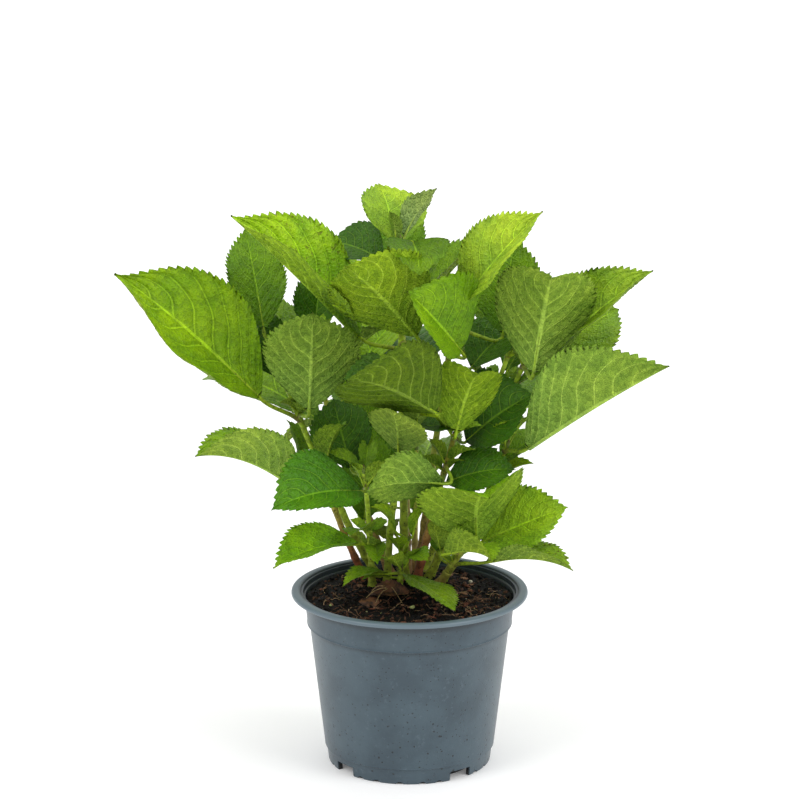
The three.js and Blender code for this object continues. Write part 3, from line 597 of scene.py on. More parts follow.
def blade_columns(leaf):
    count = int(np.clip(round(leaf["wide"] / 2 / COLUMN_PITCH), *COLUMN_COUNTS))
    q = np.concatenate([MIDRIB_COLUMNS, np.linspace(*INNER_COLUMNS, count), MARGIN_COLUMNS])
    return np.concatenate([-q[:0:-1], q])[None, :]


# Where a place lies among the side veins, and along the cells between them. s runs along the
# blade from 0 to 1, and v across it from -1 to 1
def vein_phase(leaf, s, v, wave):
    q = np.abs(v)
    sway = 0.10 * np.sin(5.1 * s + 3 * wave) + 0.5 * (v > 0) * (q > 0)
    bend = VEIN_LEAN * q + VEIN_ARCH * q * q
    phase = VEIN_PAIRS * (s ** VEIN_CROWDING - bend) + sway + 0.07 * np.sin(11 * q + 7 * s)
    cells = q * leaf["wide"] * outline(s) / 2 / CELL_SIZE
    cells = cells + 0.28 * np.sin(2.7 * phase + 5 * wave) + 0.2 * np.sin(19 * s + 4 * q)
    return phase, cells


def blade_relief(leaf, s, v, wave):
    q = np.abs(v)
    phase, cells = vein_phase(leaf, s, v, wave)
    ridge, rung = np.abs(np.sin(np.pi * phase)), np.abs(np.sin(np.pi * cells))
    reach = smooth(0.02, 0.14, s) * (1 - 0.8 * smooth(0.86, 1.0, s)) * smooth(0, 0.12, q)
    pucker = PUCKER * (ridge ** 0.7 - 0.6) * (1 - 0.5 * q ** 3)
    quilt = QUILT * (ridge ** 0.8 * rung ** 0.8 - 0.4) * (1 - 0.6 * q ** 6)
    swing = np.sin(2 * np.pi * (2.3 * s + wave + 0.4 * (v > 0)))
    ripple = RIPPLE * q ** 2 * swing * smooth(0.05, 0.3, s)
    groove = GROOVE * np.exp(-(q / 0.06) ** 2) * (1 - 0.7 * s)
    relief = leaf["long"] * ((pucker + quilt) * reach + ripple - groove)
    return relief, (1 - ridge) ** 5 * reach, phase, cells


def blade_surfaces(leaf, wave):
    rows = blade_rows(leaf, wave)
    s, tooth = rows[:, 0][:, None], rows[:, 1][:, None]
    side = blade_columns(leaf)
    q = np.abs(side)
    place, along, up = midrib(leaf, rows[:, 0])
    width = leaf["wide"] / 2 * outline(s)
    depth = TOOTH_DEPTH * min(1.0, (leaf["long"] / FULL_TOOTH_LONG) ** 0.7) * smooth(0.05, 0.16, s)
    depth = np.minimum(depth, 0.35 * width) * (1 - 0.7 * smooth(0.9, 0.99, s))
    rim = smooth(0.84, 1, q) ** 1.5
    jag = depth * (tooth - 0.5) * rim
    forward = TOOTH_FORWARD * depth * tooth * rim
    out, lift, slope = across(leaf, width, q)
    relief, vein, phase, cells = blade_relief(leaf, s, side, wave)
    sign = np.where(side < 0, -1.0, 1.0)
    out = out + jag * np.cos(slope)
    lift = lift + jag * np.sin(slope)
    point = (place[:, None, :] + LEFT * (sign * out)[..., None] + up[:, None, :] * lift[..., None]
             + along[:, None, :] * forward[..., None])
    normal = up[:, None, :] * np.cos(slope)[..., None] - LEFT * (sign * np.sin(slope))[..., None]
    half = BLADE_THICKNESS * leaf["long"] / 2 * np.sqrt(np.maximum(1 - q ** 2, 0)) * (1 - 0.4 * s)
    rib = RIB * leaf["long"] * (1 - 0.85 * s) * np.exp(-(q / 0.05) ** 2) * (q < 0.99)
    branch = BRANCH * leaf["long"] * vein * (1 - 0.8 * q) * (1 - q ** 6)
    top = point + normal * (relief + half)[..., None]
    under = point + normal * (relief - half - rib - branch)[..., None]
    return s, side, width, top, under, phase, cells


# Closed blade: an upper and a lower sheet that share their margin and both ends
def add_blade(pile, leaf, wave, cell):
    s, side, width, top, under, phase, cells = blade_surfaces(leaf, wave)
    rows, cols = top.shape[:2]
    ends = midrib(leaf, [0, 1])[0]
    inner = under[:, 1:-1]
    points = np.concatenate([top.reshape(-1, 3), inner.reshape(-1, 3), ends])
    points = points @ blade_turn(leaf).T + leaf["base"]
    upper = np.arange(rows * cols).reshape(rows, cols)
    lower = upper.copy()
    lower[:, 1:-1] = rows * cols + np.arange(rows * (cols - 2)).reshape(rows, cols - 2)
    base, tip = len(points) - 2, len(points) - 1
    quads, tris = [], []
    for grid in (upper, lower):
        quad = np.stack([grid[:-1, 1:], grid[1:, 1:], grid[1:, :-1], grid[:-1, :-1]], -1).reshape(-1, 4)
        first = np.stack([grid[0, :-1], grid[0, 1:], np.full(cols - 1, base)], -1)
        last = np.stack([grid[-1, 1:], grid[-1, :-1], np.full(cols - 1, tip)], -1)
        fan = np.concatenate([first, last])
        quads.append(quad if grid is upper else quad[:, ::-1])
        tris.append(fan if grid is upper else fan[:, ::-1])
    sides4, sides3 = (np.repeat([0, 1], [len(sheet) for sheet in sheets]) for sheets in (quads, tris))
    quads, tris = np.concatenate(quads), np.concatenate(tris)

    # Values of the grid as one list, in the order of the points
    def listed(values, ends):
        values = np.broadcast_to(values, (rows, cols))
        return np.concatenate([values.ravel(), values[:, 1:-1].ravel(), ends])

    along, out = listed(s, [0, 1]), listed(side, [0, 0])
    shape = np.stack([out, along], 1)
    vein = np.stack([listed(phase, [0.5, 0.5]), listed(cells, [0.5, 0.5])], 1)
    size = np.stack([out * listed(width, [0.1, 0.1]), along * leaf["long"]], 1) / 10
    corners = {
        "leaf_uv": {4: shape[quads], 3: shape[tris]},
        "leaf_vein": {4: vein[quads], 3: vein[tris]},
        "leaf_cm": {4: size[quads], 3: size[tris]},
        "OFBake": {4: bake_place(shape[quads], sides4, cell), 3: bake_place(shape[tris], sides3, cell)},
    }
    tone = TONES[leaf["tone"]]
    sharp = np.zeros(len(points), bool)
    sharp[upper[:, [0, -1]].ravel()] = True
    sharp[[base, tip]] = True
    # Both colours carry the leaf's painted light and shade, set by its light
    values = {
        "upper_colour": (*shade(tone[0], leaf["light"], wave), tone[2]),
        "lower_colour": (*shade(tone[1], leaf["light"], wave), tone[2]),
    }
    pile.add(points, quads, tris, (sides4, sides3), corners, values, sharp)


# A leaf's own small step away from its tone, with its colour made lighter or darker by its light, which is
# painted light and shade
def shade(colour, light, wave):
    light = light * (1 + 0.06 * math.sin(12.9 * wave))
    warm = 1 + 0.05 * math.sin(7.3 * wave + 1)
    return colour[0] * light * warm, colour[1] * light, colour[2] * light


# Place of a corner in the bake's square: one cell a leaf, upper side left, lower right
def bake_place(shape, side, cell):
    col, line, cells = cell
    x = 0.02 + 0.46 * (shape[..., 0] + 1) / 2 + 0.5 * side[:, None]
    y = 0.02 + 0.96 * shape[..., 1]
    return np.stack([(col + x) / cells, (line + y) / cells], -1)


# Stems with node swellings, fine bark relief and a foot that widens into the peat

# Bark of a shoot: its tone at the foot and at the top, and where one gives way to the other
BARKS = {
    "brown": ((0.24, 0.135, 0.045), (0.32, 0.37, 0.04), 0.3),
    "red": ((0.26, 0.085, 0.035), (0.34, 0.32, 0.04), 0.45),
    "green": ((0.27, 0.33, 0.03), (0.35, 0.49, 0.03), 0.25),
}
STEM_RING = 1.8
STEM_SIDES = 18
NODE_PITCH = 24
NODE_SWELL = 0.22
NODE_REACH = 3.2
SCAR_BELOW = 1.2
SCAR_REACH = 0.7
SCAR_DARK = 0.45
FLARE = 0.45
FLARE_REACH = 5
FOOT_DEPTH = 6
FOOT_WIDTHS = (1.35, 1.2)
PETIOLE_RADIUS = 1.9
PETIOLE_SINK = 0.1
THIN_SIDES = 10
BUD_TONES = ((0.13, 0.20, 0.03), (0.17, 0.10, 0.03))
AXIL_TONE = (0.20, 0.17, 0.04)
BUD_LEAF_LONG = 40


# Rings of points across a line of centres, turned as little as may be from one to the next
def ring_points(centres, radii, sides):
    ahead = unit(np.gradient(centres, axis=0))
    side = np.array([0.0, 1, 0]) if abs(ahead[0][1]) < 0.7 else np.array([1.0, 0, 0])
    around = np.arange(sides) * 2 * np.pi / sides
    points = np.zeros((len(centres), sides, 3))
    for i, centre in enumerate(centres):
        side = unit(side - ahead[i] * (side @ ahead[i]))
        other = np.cross(ahead[i], side)
        ring = np.cos(around)[:, None] * side + np.sin(around)[:, None] * other
        points[i] = centre + np.broadcast_to(radii[i], (sides,))[:, None] * ring
    return points


# Closed tube through rings of points, with a hub at either end and a tone for each ring
def add_rings(pile, points, tones=None, hubs=None):
    count, sides = points.shape[:2]
    grid = np.arange(count * sides).reshape(count, sides)
    after = np.roll(grid, -1, axis=1)
    quads = np.stack([grid[:-1], after[:-1], after[1:], grid[1:]], -1).reshape(-1, 4)
    first, last = count * sides, count * sides + 1
    caps = [np.stack([after[0], grid[0], np.full(sides, first)], -1),
            np.stack([grid[-1], after[-1], np.full(sides, last)], -1)]
    if hubs is None:
        hubs = points[0].mean(0), points[-1].mean(0)
    values = {}
    if tones is not None:
        tones = np.broadcast_to(np.asarray(tones, float), (count, 3))
        tones = np.concatenate([np.repeat(tones, sides, axis=0), tones[[0, -1]]])
        values["tone"] = np.concatenate([tones, np.ones((len(tones), 1))], axis=1)
    pile.add(np.concatenate([points.reshape(-1, 3), hubs]), quads, np.concatenate(caps), values=values)


def bark_bump(points, radius):
    bump = np.zeros(points.shape[:2])
    for i, ring in enumerate(points):
        for j, p in enumerate(ring):
            grain = noise.noise(Vector((p[0] * 0.9, p[1] * 0.9, p[2] * 0.28)))
            knob = noise.noise(Vector(p) * 0.16)
            bump[i, j] = radius[i] * (0.07 * grain + 0.06 * knob)
    return bump


def stem_tones(s, t, scars):
    foot, top, woody = BARKS[s["bark"]]
    blend = smooth(woody - 0.3, woody + 0.3, t)[:, None]
    tone = mix(np.array(foot), np.array(top), blend)
    return tone * (1 - SCAR_DARK * scars[:, None])


# The stem from its foot in the peat to its tip, shared by the bare bough below
# and the leafy twig above
def add_stem(bough, twigs, s, leaves):
    length = stem_length(s)
    lower = np.linspace(0, s["bare"], max(8, round(length * s["bare"] / STEM_RING)))
    upper = np.linspace(s["bare"], 1, max(8, round(length * (1 - s["bare"]) / STEM_RING)))
    t = np.concatenate([lower, upper[1:]])
    radius = mix(*s["thick"], t)
    nodes = [leaf["at"] for leaf in leaves]
    nodes += [k * NODE_PITCH / length for k in range(1, 9) if k * NODE_PITCH / length < s["bare"]]
    swell, scars = np.zeros(len(t)), np.zeros(len(t))
    for at in nodes:
        away = (t - at) * length
        swell = np.maximum(swell, np.exp(-(away / NODE_REACH) ** 2))
        scars = np.maximum(scars, np.exp(-((away + SCAR_BELOW) / SCAR_REACH) ** 2))
    radius = radius * (1 + NODE_SWELL * swell - 0.05 * scars)
    radius = radius * (1 + FLARE * np.exp(-t * length / FLARE_REACH))
    centres = stem_point(s, t)
    ground = np.array([[0, 0, -FOOT_DEPTH], [0, 0, -FOOT_DEPTH / 2]]) + centres[0]
    centres = np.concatenate([ground, centres])
    radius = np.concatenate([radius[0] * np.array(FOOT_WIDTHS), radius])
    tones = stem_tones(s, t, scars)
    tones = np.concatenate([tones[[0, 0]], tones])
    plain = ring_points(centres, radius, STEM_SIDES)
    radii = radius[:, None] + bark_bump(plain, radius)
    points = ring_points(centres, radii, STEM_SIDES)
    split = len(lower) + 1
    add_rings(bough, points[:split + 1], tones[:split + 1])
    add_rings(twigs, points[split:], tones[split:])
    add_bud(twigs, centres[-1] - [0, 0, 1], unit(centres[-1] - centres[-2]), s["thick"][1] * 1.15, 9)


def add_bud(pile, place, ahead, radius, length):
    t = np.linspace(0, 1, 8)
    centres = place + np.outer(t * length, ahead)
    radii = radius * np.sin(np.pi * (0.22 + 0.76 * t)) ** 0.9
    tone = mix(*np.array(BUD_TONES), t[:, None] ** 3)
    add_rings(pile, ring_points(centres, radii, THIN_SIDES), tone)


# Leaf stalk from the stem to the blade, running on below the blade as its midrib
def add_petiole(pile, leaf):
    turn = blade_turn(leaf).T
    place, along, up = (v @ turn for v in midrib(leaf, [0, PETIOLE_SINK, 0.22, 0.36]))
    place = place + leaf["base"]
    reach = np.linalg.norm(place[0] - leaf["root"])
    lead = mix(leaf["root"], place[0], 0.35) + [0, 0, 0.06 * reach]
    end = place[0] - up[0] * 0.5
    before = end - 0.35 * reach * along[0]
    t = np.linspace(0, 1, 14)[:, None]
    centres = ((1 - t) ** 3 * leaf["root"] + 3 * t * (1 - t) ** 2 * lead
               + 3 * t * t * (1 - t) * before + t ** 3 * end)
    under = place[1:] - up[1:] * np.array([0.7, 0.6, 0.5])[:, None]
    centres = np.concatenate([centres, under])
    size = PETIOLE_RADIUS * min(1, 0.45 + leaf["long"] / 180)
    radii = size * np.concatenate([1 - 0.22 * t[:, 0], [0.66, 0.5, 0.3]])
    radii = radii * (1 + 0.5 * np.exp(-np.arange(len(radii)) / 1.1))
    pale = np.array(TONES[leaf["tone"]][1]) * (1.2, 1.12, 0.6)
    tones = mix(np.array(AXIL_TONE), pale, smooth(0, 5, np.arange(len(radii)))[:, None])
    add_rings(pile, ring_points(centres, radii, THIN_SIDES), tones)
    if leaf["long"] > BUD_LEAF_LONG:
        ahead = unit(unit(centres[1] - centres[0]) + np.array([0, 0, 1.3]))
        add_bud(pile, leaf["root"] + 0.6 * unit(ahead), ahead, 1.25, 5.5)


# Pot, turned from its profile, with drain notches and shallow vents cut from its foot

# Rings of points round the Z axis, one for each radius and height
def turned_rings(profile, sectors):
    angles = np.arange(sectors) * 2 * np.pi / sectors
    return np.array([[(r * math.cos(a), r * math.sin(a), z) for a in angles] for r, z in profile])


# Place on the foot ring that faces an angle, at a height
def foot_place(angle, z):
    front = Matrix.Translation(Vector((0, -FOOT_RADIUS, z)) * MM)
    return Matrix.Rotation(math.radians(angle), 4, "Z") @ front


def make_foot_cuts():
    cuts = bmesh.new()
    size = Vector((NOTCH_SIZE[0], NOTCH_DEPTH, NOTCH_SIZE[1] + NOTCH_BELOW)) * MM
    for angle in NOTCH_ANGLES:
        place = foot_place(angle, (NOTCH_SIZE[1] - NOTCH_BELOW) / 2)
        bmesh.ops.create_cube(cuts, size=1, matrix=place @ Matrix.Diagonal((*size, 1)))
    radius = VENT_RADIUS * MM
    for facing, step in itertools.product(VENT_FACINGS, VENT_PLACES):
        place = foot_place(facing + step * VENT_STEP, VENT_TOP - VENT_RADIUS)
        bmesh.ops.create_cone(
            cuts, cap_ends=True, segments=VENT_SIDES, radius1=radius, radius2=radius,
            depth=2 * VENT_DEPTH * MM, matrix=place @ Matrix.Rotation(math.pi / 2, 4, "X"))
    mesh = bpy.data.meshes.new("foot_cuts")
    cuts.to_mesh(mesh)
    cuts.free()
    thing = bpy.data.objects.new("foot_cuts", mesh)
    bpy.context.scene.collection.objects.link(thing)
    return thing


def make_pot(material):
    pile = Pile()
    hubs = [(0, 0, POT_PROFILE[0][1]), (0, 0, POT_PROFILE[-1][1])]
    add_rings(pile, turned_rings(POT_PROFILE[1:-1], POT_SEGMENTS), hubs=hubs)
    thing = pile.make("pot_body", [material])
    cuts = make_foot_cuts()
    cut = thing.modifiers.new("cut", "BOOLEAN")
    cut.object = cuts
    cut.operation = "DIFFERENCE"
    cut.solver = "EXACT"
    cut.use_self = True
    depsgraph = bpy.context.evaluated_depsgraph_get()
    mesh = bpy.data.meshes.new_from_object(thing.evaluated_get(depsgraph))
    thing.modifiers.clear()
    thing.data = mesh
    bpy.data.objects.remove(cuts)
    mesh.materials.clear()
    mesh.materials.append(material)
    mesh.polygons.foreach_set("use_smooth", np.ones(len(mesh.polygons), bool))
    mesh.set_sharp_from_angle(angle=math.radians(POT_SHARP_ANGLE))
    return thing


# Peat: a rough heap from wall to wall, with crumbs, fibres, chips, grit, roots and dead leaves

# Numbers of each kind of piece, how far from the pot's middle they lie, and their sizes
CRUMBS = 1250
CRUMB_REACH = 80.5
CRUMB_SIZES = (1.1, 2.8)
CHIPS = 130
CHIP_REACH = 76
CHIP_SIZES = (3.5, 9)
GRIT = 16
GRIT_REACH = 75
GRIT_SIZES = (0.9, 2.2)
FIBRES = 110
FIBRE_REACH = 81
FIBRE_STARTS = 76
FIBRE_COUNTS = (12, 22)
FIBRE_STEPS = (0.8, 1.9)
FIBRE_LIFTS = (0.3, 2.6)
FIBRE_RADII = (0.2, 0.55)
THREAD_SIDES = 6
# One fibre in four starts in this tuft
TUFT_CENTRE = (42, -8)
TUFT_REACH = 30
# Unevenness of the heap: height, level of the noise and how fine it is
PEAT_LUMPS = ((1.8, 3, 0.075), (1.7, 9, 0.19), (1.2, 5, 0.5))
PEAT_TONES = (
    (0.0025, 0.0015, 0.001), (0.010, 0.004, 0.002), (0.0015, 0.001, 0.0007), (0.075, 0.032, 0.016),
)
CHIP_TONES = ((0.15, 0.055, 0.03), (0.06, 0.026, 0.014), (0.24, 0.13, 0.075))
FIBRE_TONES = ((0.17, 0.095, 0.055), (0.09, 0.045, 0.025), (0.34, 0.23, 0.13))
GRIT_TONES = ((0.46, 0.43, 0.22), (0.34, 0.38, 0.14), (0.60, 0.55, 0.42))
ROOT_TONE = (0.42, 0.30, 0.14)
ROOT_START = (-15, -4, 144.5)
ROOT_ENDS = ((-36, -18, 139), (-27, -24, 138), (-6, -24, 138), (-31, -8, 141.5))
# Grit that the photo shows: place in plan and size
SEEN_GRIT = [
    (2, -36, 4.2), (34, -36, 4.6), (10, -23, 2.6), (50, 39, 4.4), (-21, 53, 3.0), (46, -24, 2.4),
]
# Brown leaves that have dropped on the peat, with their places
DEAD_LEAVES = [
    (row("dead", 0, 172, -3, 36, 21, roll=-24, fold=26, bend=30), (2, -11, 141.5)),
    (row("dead", 0, 196, 2, 20, 11, roll=-34, fold=-14, bend=-20), (-22, -21, 139.5)),
]
DEAD_WAVE = 0.4


def peat_height(x, y):
    away = math.hypot(x - MOUND_CENTRE[0], y - MOUND_CENTRE[1])
    mound = MOUND_HEIGHT * (1 - float(smooth(*MOUND_RADII, away)))
    lumps = sum(high * noise.noise(Vector((x, y, z)) * fine) for high, z, fine in PEAT_LUMPS)
    return PEAT_Z + mound + lumps


def make_peat_body(material):
    side = turned_rings(PEAT_SIDE, PEAT_SECTORS)
    radii = np.linspace(PEAT_REACH, 0, PEAT_RINGS + 1)[:-1]
    top = turned_rings([(r, 0) for r in radii], PEAT_SECTORS)
    top[..., 2] = [[peat_height(x, y) for x, y, _ in ring] for ring in top]
    pile = Pile()
    hubs = [(0, 0, PEAT_SIDE[0][1]), (0, 0, peat_height(0, 0))]
    add_rings(pile, np.concatenate([side, top]), PEAT_TONES[0], hubs)
    return pile.make("peat_body", [material])


def lump_shape():
    shape = bmesh.new()
    bmesh.ops.create_icosphere(shape, subdivisions=2, radius=1)
    points = np.array([v.co for v in shape.verts])
    faces = np.array([[v.index for v in f.verts] for f in shape.faces])
    shape.free()
    return points, faces


def add_lump(pile, lump, place, size, turn, tone, rough):
    points, faces = lump
    bumps = np.array([noise.noise(Vector(p) * 1.3 + Vector(place)) for p in points])
    shaped = points * (1 + rough * bumps)[:, None] * np.asarray(size) / 2
    pile.add(shaped @ turn.T + place, tris=faces, values={"tone": (*tone, 1)})


def peat_place(random, reach):
    r, a = reach * math.sqrt(random.random()), random.random() * 2 * math.pi
    return r * math.cos(a), r * math.sin(a)


def any_turn(random, tilt=180):
    first, lean, last = random.uniform(0, 360), random.uniform(-tilt, tilt), random.uniform(0, 360)
    return turned(Z, first) @ turned(X, lean) @ turned(Z, last)


def make_peat_crumbs(material, random, lump):
    pile = Pile()
    for _ in range(CRUMBS):
        x, y = peat_place(random, CRUMB_REACH)
        size = random.uniform(*CRUMB_SIZES) / random.uniform(0.4, 1)
        shape = np.array([1, random.uniform(0.25, 0.9), random.uniform(0.3, 0.8)]) * size
        place = np.array([x, y, peat_height(x, y) + 0.1 * size])
        tone = PEAT_TONES[int(random.integers(len(PEAT_TONES)))]
        add_lump(pile, lump, place, shape, any_turn(random), tone, 0.8)
    return pile.make("peat_crumbs", [material])


def add_fibre(pile, random, x, y):
    heading, bend = random.uniform(0, 2 * math.pi), random.uniform(-0.16, 0.16)
    step = random.uniform(*FIBRE_STEPS)
    lift = random.uniform(*FIBRE_LIFTS)
    count = int(random.integers(*FIBRE_COUNTS))
    path = []
    for k in range(count):
        if math.hypot(x, y) > FIBRE_REACH:
            break
        arch = lift * math.sin(math.pi * k / (count - 1))
        path.append((x, y, peat_height(x, y) + arch - 0.2))
        heading += bend + random.uniform(-0.3, 0.3)
        x, y = x + step * math.cos(heading), y + step * math.sin(heading)
    if len(path) > 4:
        radii = random.uniform(*FIBRE_RADII) * np.linspace(1, 0.4, len(path))
        tone = FIBRE_TONES[int(random.integers(len(FIBRE_TONES)))]
        add_rings(pile, ring_points(np.array(path), radii, THREAD_SIDES), tone)


# Pale roots that lie over the larger dead leaf
def add_pale_roots(pile, random):
    for end in ROOT_ENDS:
        t = np.linspace(0, 1, 12)[:, None]
        path = mix(np.array(ROOT_START, float), np.array(end, float), t)
        path = path + np.sin(math.pi * t) * (random.uniform(-2.5, 2.5, 3) + [0, 0, 2.5])
        add_rings(pile, ring_points(path, 0.55 - 0.3 * t[:, 0], THREAD_SIDES), ROOT_TONE)


def make_peat_litter(material, random, lump):
    pile = Pile()
    add_pale_roots(pile, random)
    for k in range(FIBRES):
        tufted = k % 4 == 0
        x, y = peat_place(random, TUFT_REACH if tufted else FIBRE_STARTS)
        shift = TUFT_CENTRE if tufted else (0, 0)
        add_fibre(pile, random, x + shift[0], y + shift[1])
    for _ in range(CHIPS):
        x, y = peat_place(random, CHIP_REACH)
        size = random.uniform(*CHIP_SIZES) * np.array([1, random.uniform(0.3, 0.6), 0.22])
        tone = CHIP_TONES[int(random.integers(len(CHIP_TONES)))]
        place = np.array([x, y, peat_height(x, y) + 0.5])
        add_lump(pile, lump, place, size, any_turn(random, 25), tone, 0.35)
    more = [(*peat_place(random, GRIT_REACH), random.uniform(*GRIT_SIZES)) for _ in range(GRIT)]
    for x, y, size in SEEN_GRIT + more:
        tone = GRIT_TONES[int(random.integers(len(GRIT_TONES)))]
        place = np.array([x, y, peat_height(x, y) + 0.3 * size])
        add_lump(pile, lump, place, (size, size * 0.8, size * 0.6), any_turn(random), tone, 0.6)
    return pile.make("peat_litter", [material])


def make_dead_leaves(materials):
    pile = Pile()
    for leaf, base in DEAD_LEAVES:
        add_blade(pile, {**leaf, "base": np.array(base)}, DEAD_WAVE, (0, 0, 1))
    return pile.make("dead_leaf", materials)


# Materials

CELLS_PER_CM = 3.6
VEIN_ABOVE = (0.07, 0.08, 0.008)
VEIN_BELOW = (0.09, 0.10, 0.025)
LEAF_SPOT = (0.085, 0.035, 0.012)
DEAD_COLOURS = {"dead_upper": (0.10, 0.040, 0.014), "dead_under": (0.055, 0.024, 0.010)}
PLASTIC = ((0.036, 0.061, 0.080), (0.054, 0.088, 0.111))
SCUFF = (0.095, 0.135, 0.165)
PIT = (0.006, 0.008, 0.010)
# Painted shade for the inner wall of the pot and under its lip
INSIDE_SHADE = (0.010, 0.014, 0.017)
# Painted shade under the foot ring
UNDER_FOOT_SHADE = (0.004, 0.005, 0.006)
# Painted highlight on the top of the lip
LIP_HIGHLIGHT = (0.120, 0.168, 0.198)


# Nodes of one material. A colour is given as red, green and blue, in linear values
class Graph:
    def __init__(self, name, roughness, specular=0.5):
        self.material = bpy.data.materials.new(name)
        self.material.use_nodes = True
        self.tree = self.material.node_tree
        self.shader = self.tree.nodes["Principled BSDF"]
        self.shader.inputs["Roughness"].default_value = roughness
        self.shader.inputs["Specular IOR Level"].default_value = specular

    def node(self, kind, inputs=(), **settings):
        node = self.tree.nodes.new("ShaderNode" + kind)
        for key, value in settings.items():
            setattr(node, key, value)
        for key, value in dict(inputs).items():
            self.feed(node.inputs[key], value)
        return node

    def feed(self, socket, value):
        if isinstance(value, bpy.types.NodeSocket):
            self.tree.links.new(value, socket)
        else:
            socket.default_value = (*value, 1) if isinstance(value, tuple) else value

    def math(self, operation, a, b=0.0):
        return self.node("Math", {0: a, 1: b}, operation=operation).outputs[0]

    def times(self, a, b):
        return self.math("MULTIPLY", a, b)

    def most(self, a, b):
        return self.math("MAXIMUM", a, b)

    def band(self, value, low, high, start=0.0, end=1.0):
        inputs = {"Value": value, "From Min": low, "From Max": high, "To Min": start, "To Max": end}
        return self.node("MapRange", inputs, interpolation_type="SMOOTHSTEP").outputs[0]

    def blend(self, factor, a, b, mode="MIX"):
        node = self.node("Mix", data_type="RGBA", blend_type=mode)
        sockets = [s for s in node.inputs if s.enabled]
        for socket, value in zip(sockets, (factor, a, b)):
            self.feed(socket, value)
        return [s for s in node.outputs if s.enabled][0]

    # A colour times one part, or times a part each of red, green and blue
    def tint(self, colour, part):
        return self.blend(1.0, colour, part if isinstance(part, tuple) else (part,) * 3, "MULTIPLY")

    # A colour that goes from one tint of itself to another
    def vary(self, factor, colour, low, high):
        return self.blend(factor, self.tint(colour, low), self.tint(colour, high))

    def noise(self, place, scale, detail=3.0, rough=0.5):
        inputs = {"Vector": place, "Scale": scale, "Detail": detail, "Roughness": rough}
        return self.node("TexNoise", inputs).outputs[0]

    def cells(self, place, scale):
        inputs = {"Vector": place, "Scale": scale}
        return self.node("TexVoronoi", inputs, feature="DISTANCE_TO_EDGE").outputs[0]

    # Distance to the middle of a cell, and a number dealt to the cell
    def dots(self, place, scale):
        node = self.node("TexVoronoi", {"Vector": place, "Scale": scale}, feature="F1")
        return node.outputs[0], self.node("SeparateColor", {0: node.outputs["Color"]}).outputs[0]

    # Small round pits in some of the cells
    def pits(self, place, scale, radius, share):
        away, number = self.dots(place, scale)
        return self.times(self.band(away, radius, 0.6 * radius), self.band(number, share, share + 0.05))

    def warped(self, place, scale, amount):
        drift = self.node("TexNoise", {"Vector": place, "Scale": scale}).outputs[1]
        drift = self.node("VectorMath", {0: drift, "Scale": amount}, operation="SCALE").outputs[0]
        return self.node("VectorMath", {0: place, 1: drift}, operation="ADD").outputs[0]

    def place(self):
        return self.node("TexCoord").outputs["Object"]

    def attribute(self, name):
        return self.node("Attribute", attribute_name=name)

    def finish(self, colour, height=None, strength=0.3, distance=0.0005):
        self.feed(self.shader.inputs["Base Color"], colour)
        if height is not None:
            inputs = {"Height": height, "Strength": strength, "Distance": distance}
            self.feed(self.shader.inputs["Normal"], self.node("Bump", inputs).outputs[0])
        return self.material


# Veins drawn where the relief has them: the side veins and the midrib as lines, the
# fine net between them, the swell of the small cells and a number dealt to each cell,
# then how far a place is from a side vein and how far along the blade
def vein_lines(g, width):
    split = g.node("SeparateXYZ", {0: g.node("UVMap", uv_map="leaf_uv").outputs[0]})
    q, s = g.math("ABSOLUTE", split.outputs[0]), split.outputs[1]
    waves = g.node("SeparateXYZ", {0: g.node("UVMap", uv_map="leaf_vein").outputs[0]})
    waved = [g.math("SINE", g.times(waves.outputs[k], math.pi)) for k in (0, 1)]
    ridge, rung = (g.math("ABSOLUTE", wave) for wave in waved)
    side = g.times(g.band(ridge, width, 0.4 * width), g.band(s, 0.02, 0.08))
    side = g.times(side, g.band(q, 1.0, 0.5, 0.15, 1.0))
    middle = g.band(g.math("SUBTRACT", q, g.band(s, 0.0, 1.0, 0.036, 0.012)), 0.014, -0.008)
    flat = g.warped(g.node("UVMap", uv_map="leaf_cm").outputs[0], 3.0, 0.22)
    swell = g.cells(flat, CELLS_PER_CM)
    net = g.most(g.band(swell, 0.09, 0.0), g.times(g.band(rung, 0.16, 0.0), 0.6))
    return g.most(side, middle), net, swell, g.dots(flat, CELLS_PER_CM)[1], ridge, s


def leaf_upper():
    g = Graph("leaf_upper", 0.42, 0.2)
    lines, net, swell, number, ridge, s = vein_lines(g, 0.2)
    tone = g.attribute("upper_colour")
    patch = g.band(g.noise(g.place(), 34.0, 5.0, 0.6), 0.36, 0.66)
    base = g.vary(patch, tone.outputs["Color"], (0.78, 0.84, 0.8), (1.24, 1.14, 0.9))
    # Painted shade: darker towards the base of the blade, lighter towards its tip
    base = g.vary(g.band(s, 0.0, 0.75), base, (0.74, 0.80, 0.8), (1.10, 1.07, 1.0))
    # Painted shade: darker near the sunk side veins, lighter on the swells between them
    base = g.vary(g.band(ridge, 0.15, 0.8), base, (0.82, 0.86, 0.8), 1.06)
    base = g.vary(number, base, 0.83, 1.17)
    base = g.blend(g.times(net, 0.4), base, g.tint(base, (1.7, 1.5, 1.4)))
    pale = g.blend(1.0, g.tint(base, 1.6), VEIN_ABOVE, "ADD")
    base = g.blend(g.times(lines, 0.9), base, pale)
    spots = g.times(g.band(g.noise(g.place(), 330.0, 2.0), 0.60, 0.68), tone.outputs["Alpha"])
    base = g.blend(g.times(spots, 0.85), base, LEAF_SPOT)
    sunk = g.math("SUBTRACT", g.band(swell, 0.0, 0.32), g.times(lines, 0.8))
    return g.finish(base, sunk, 0.55, 0.0008)


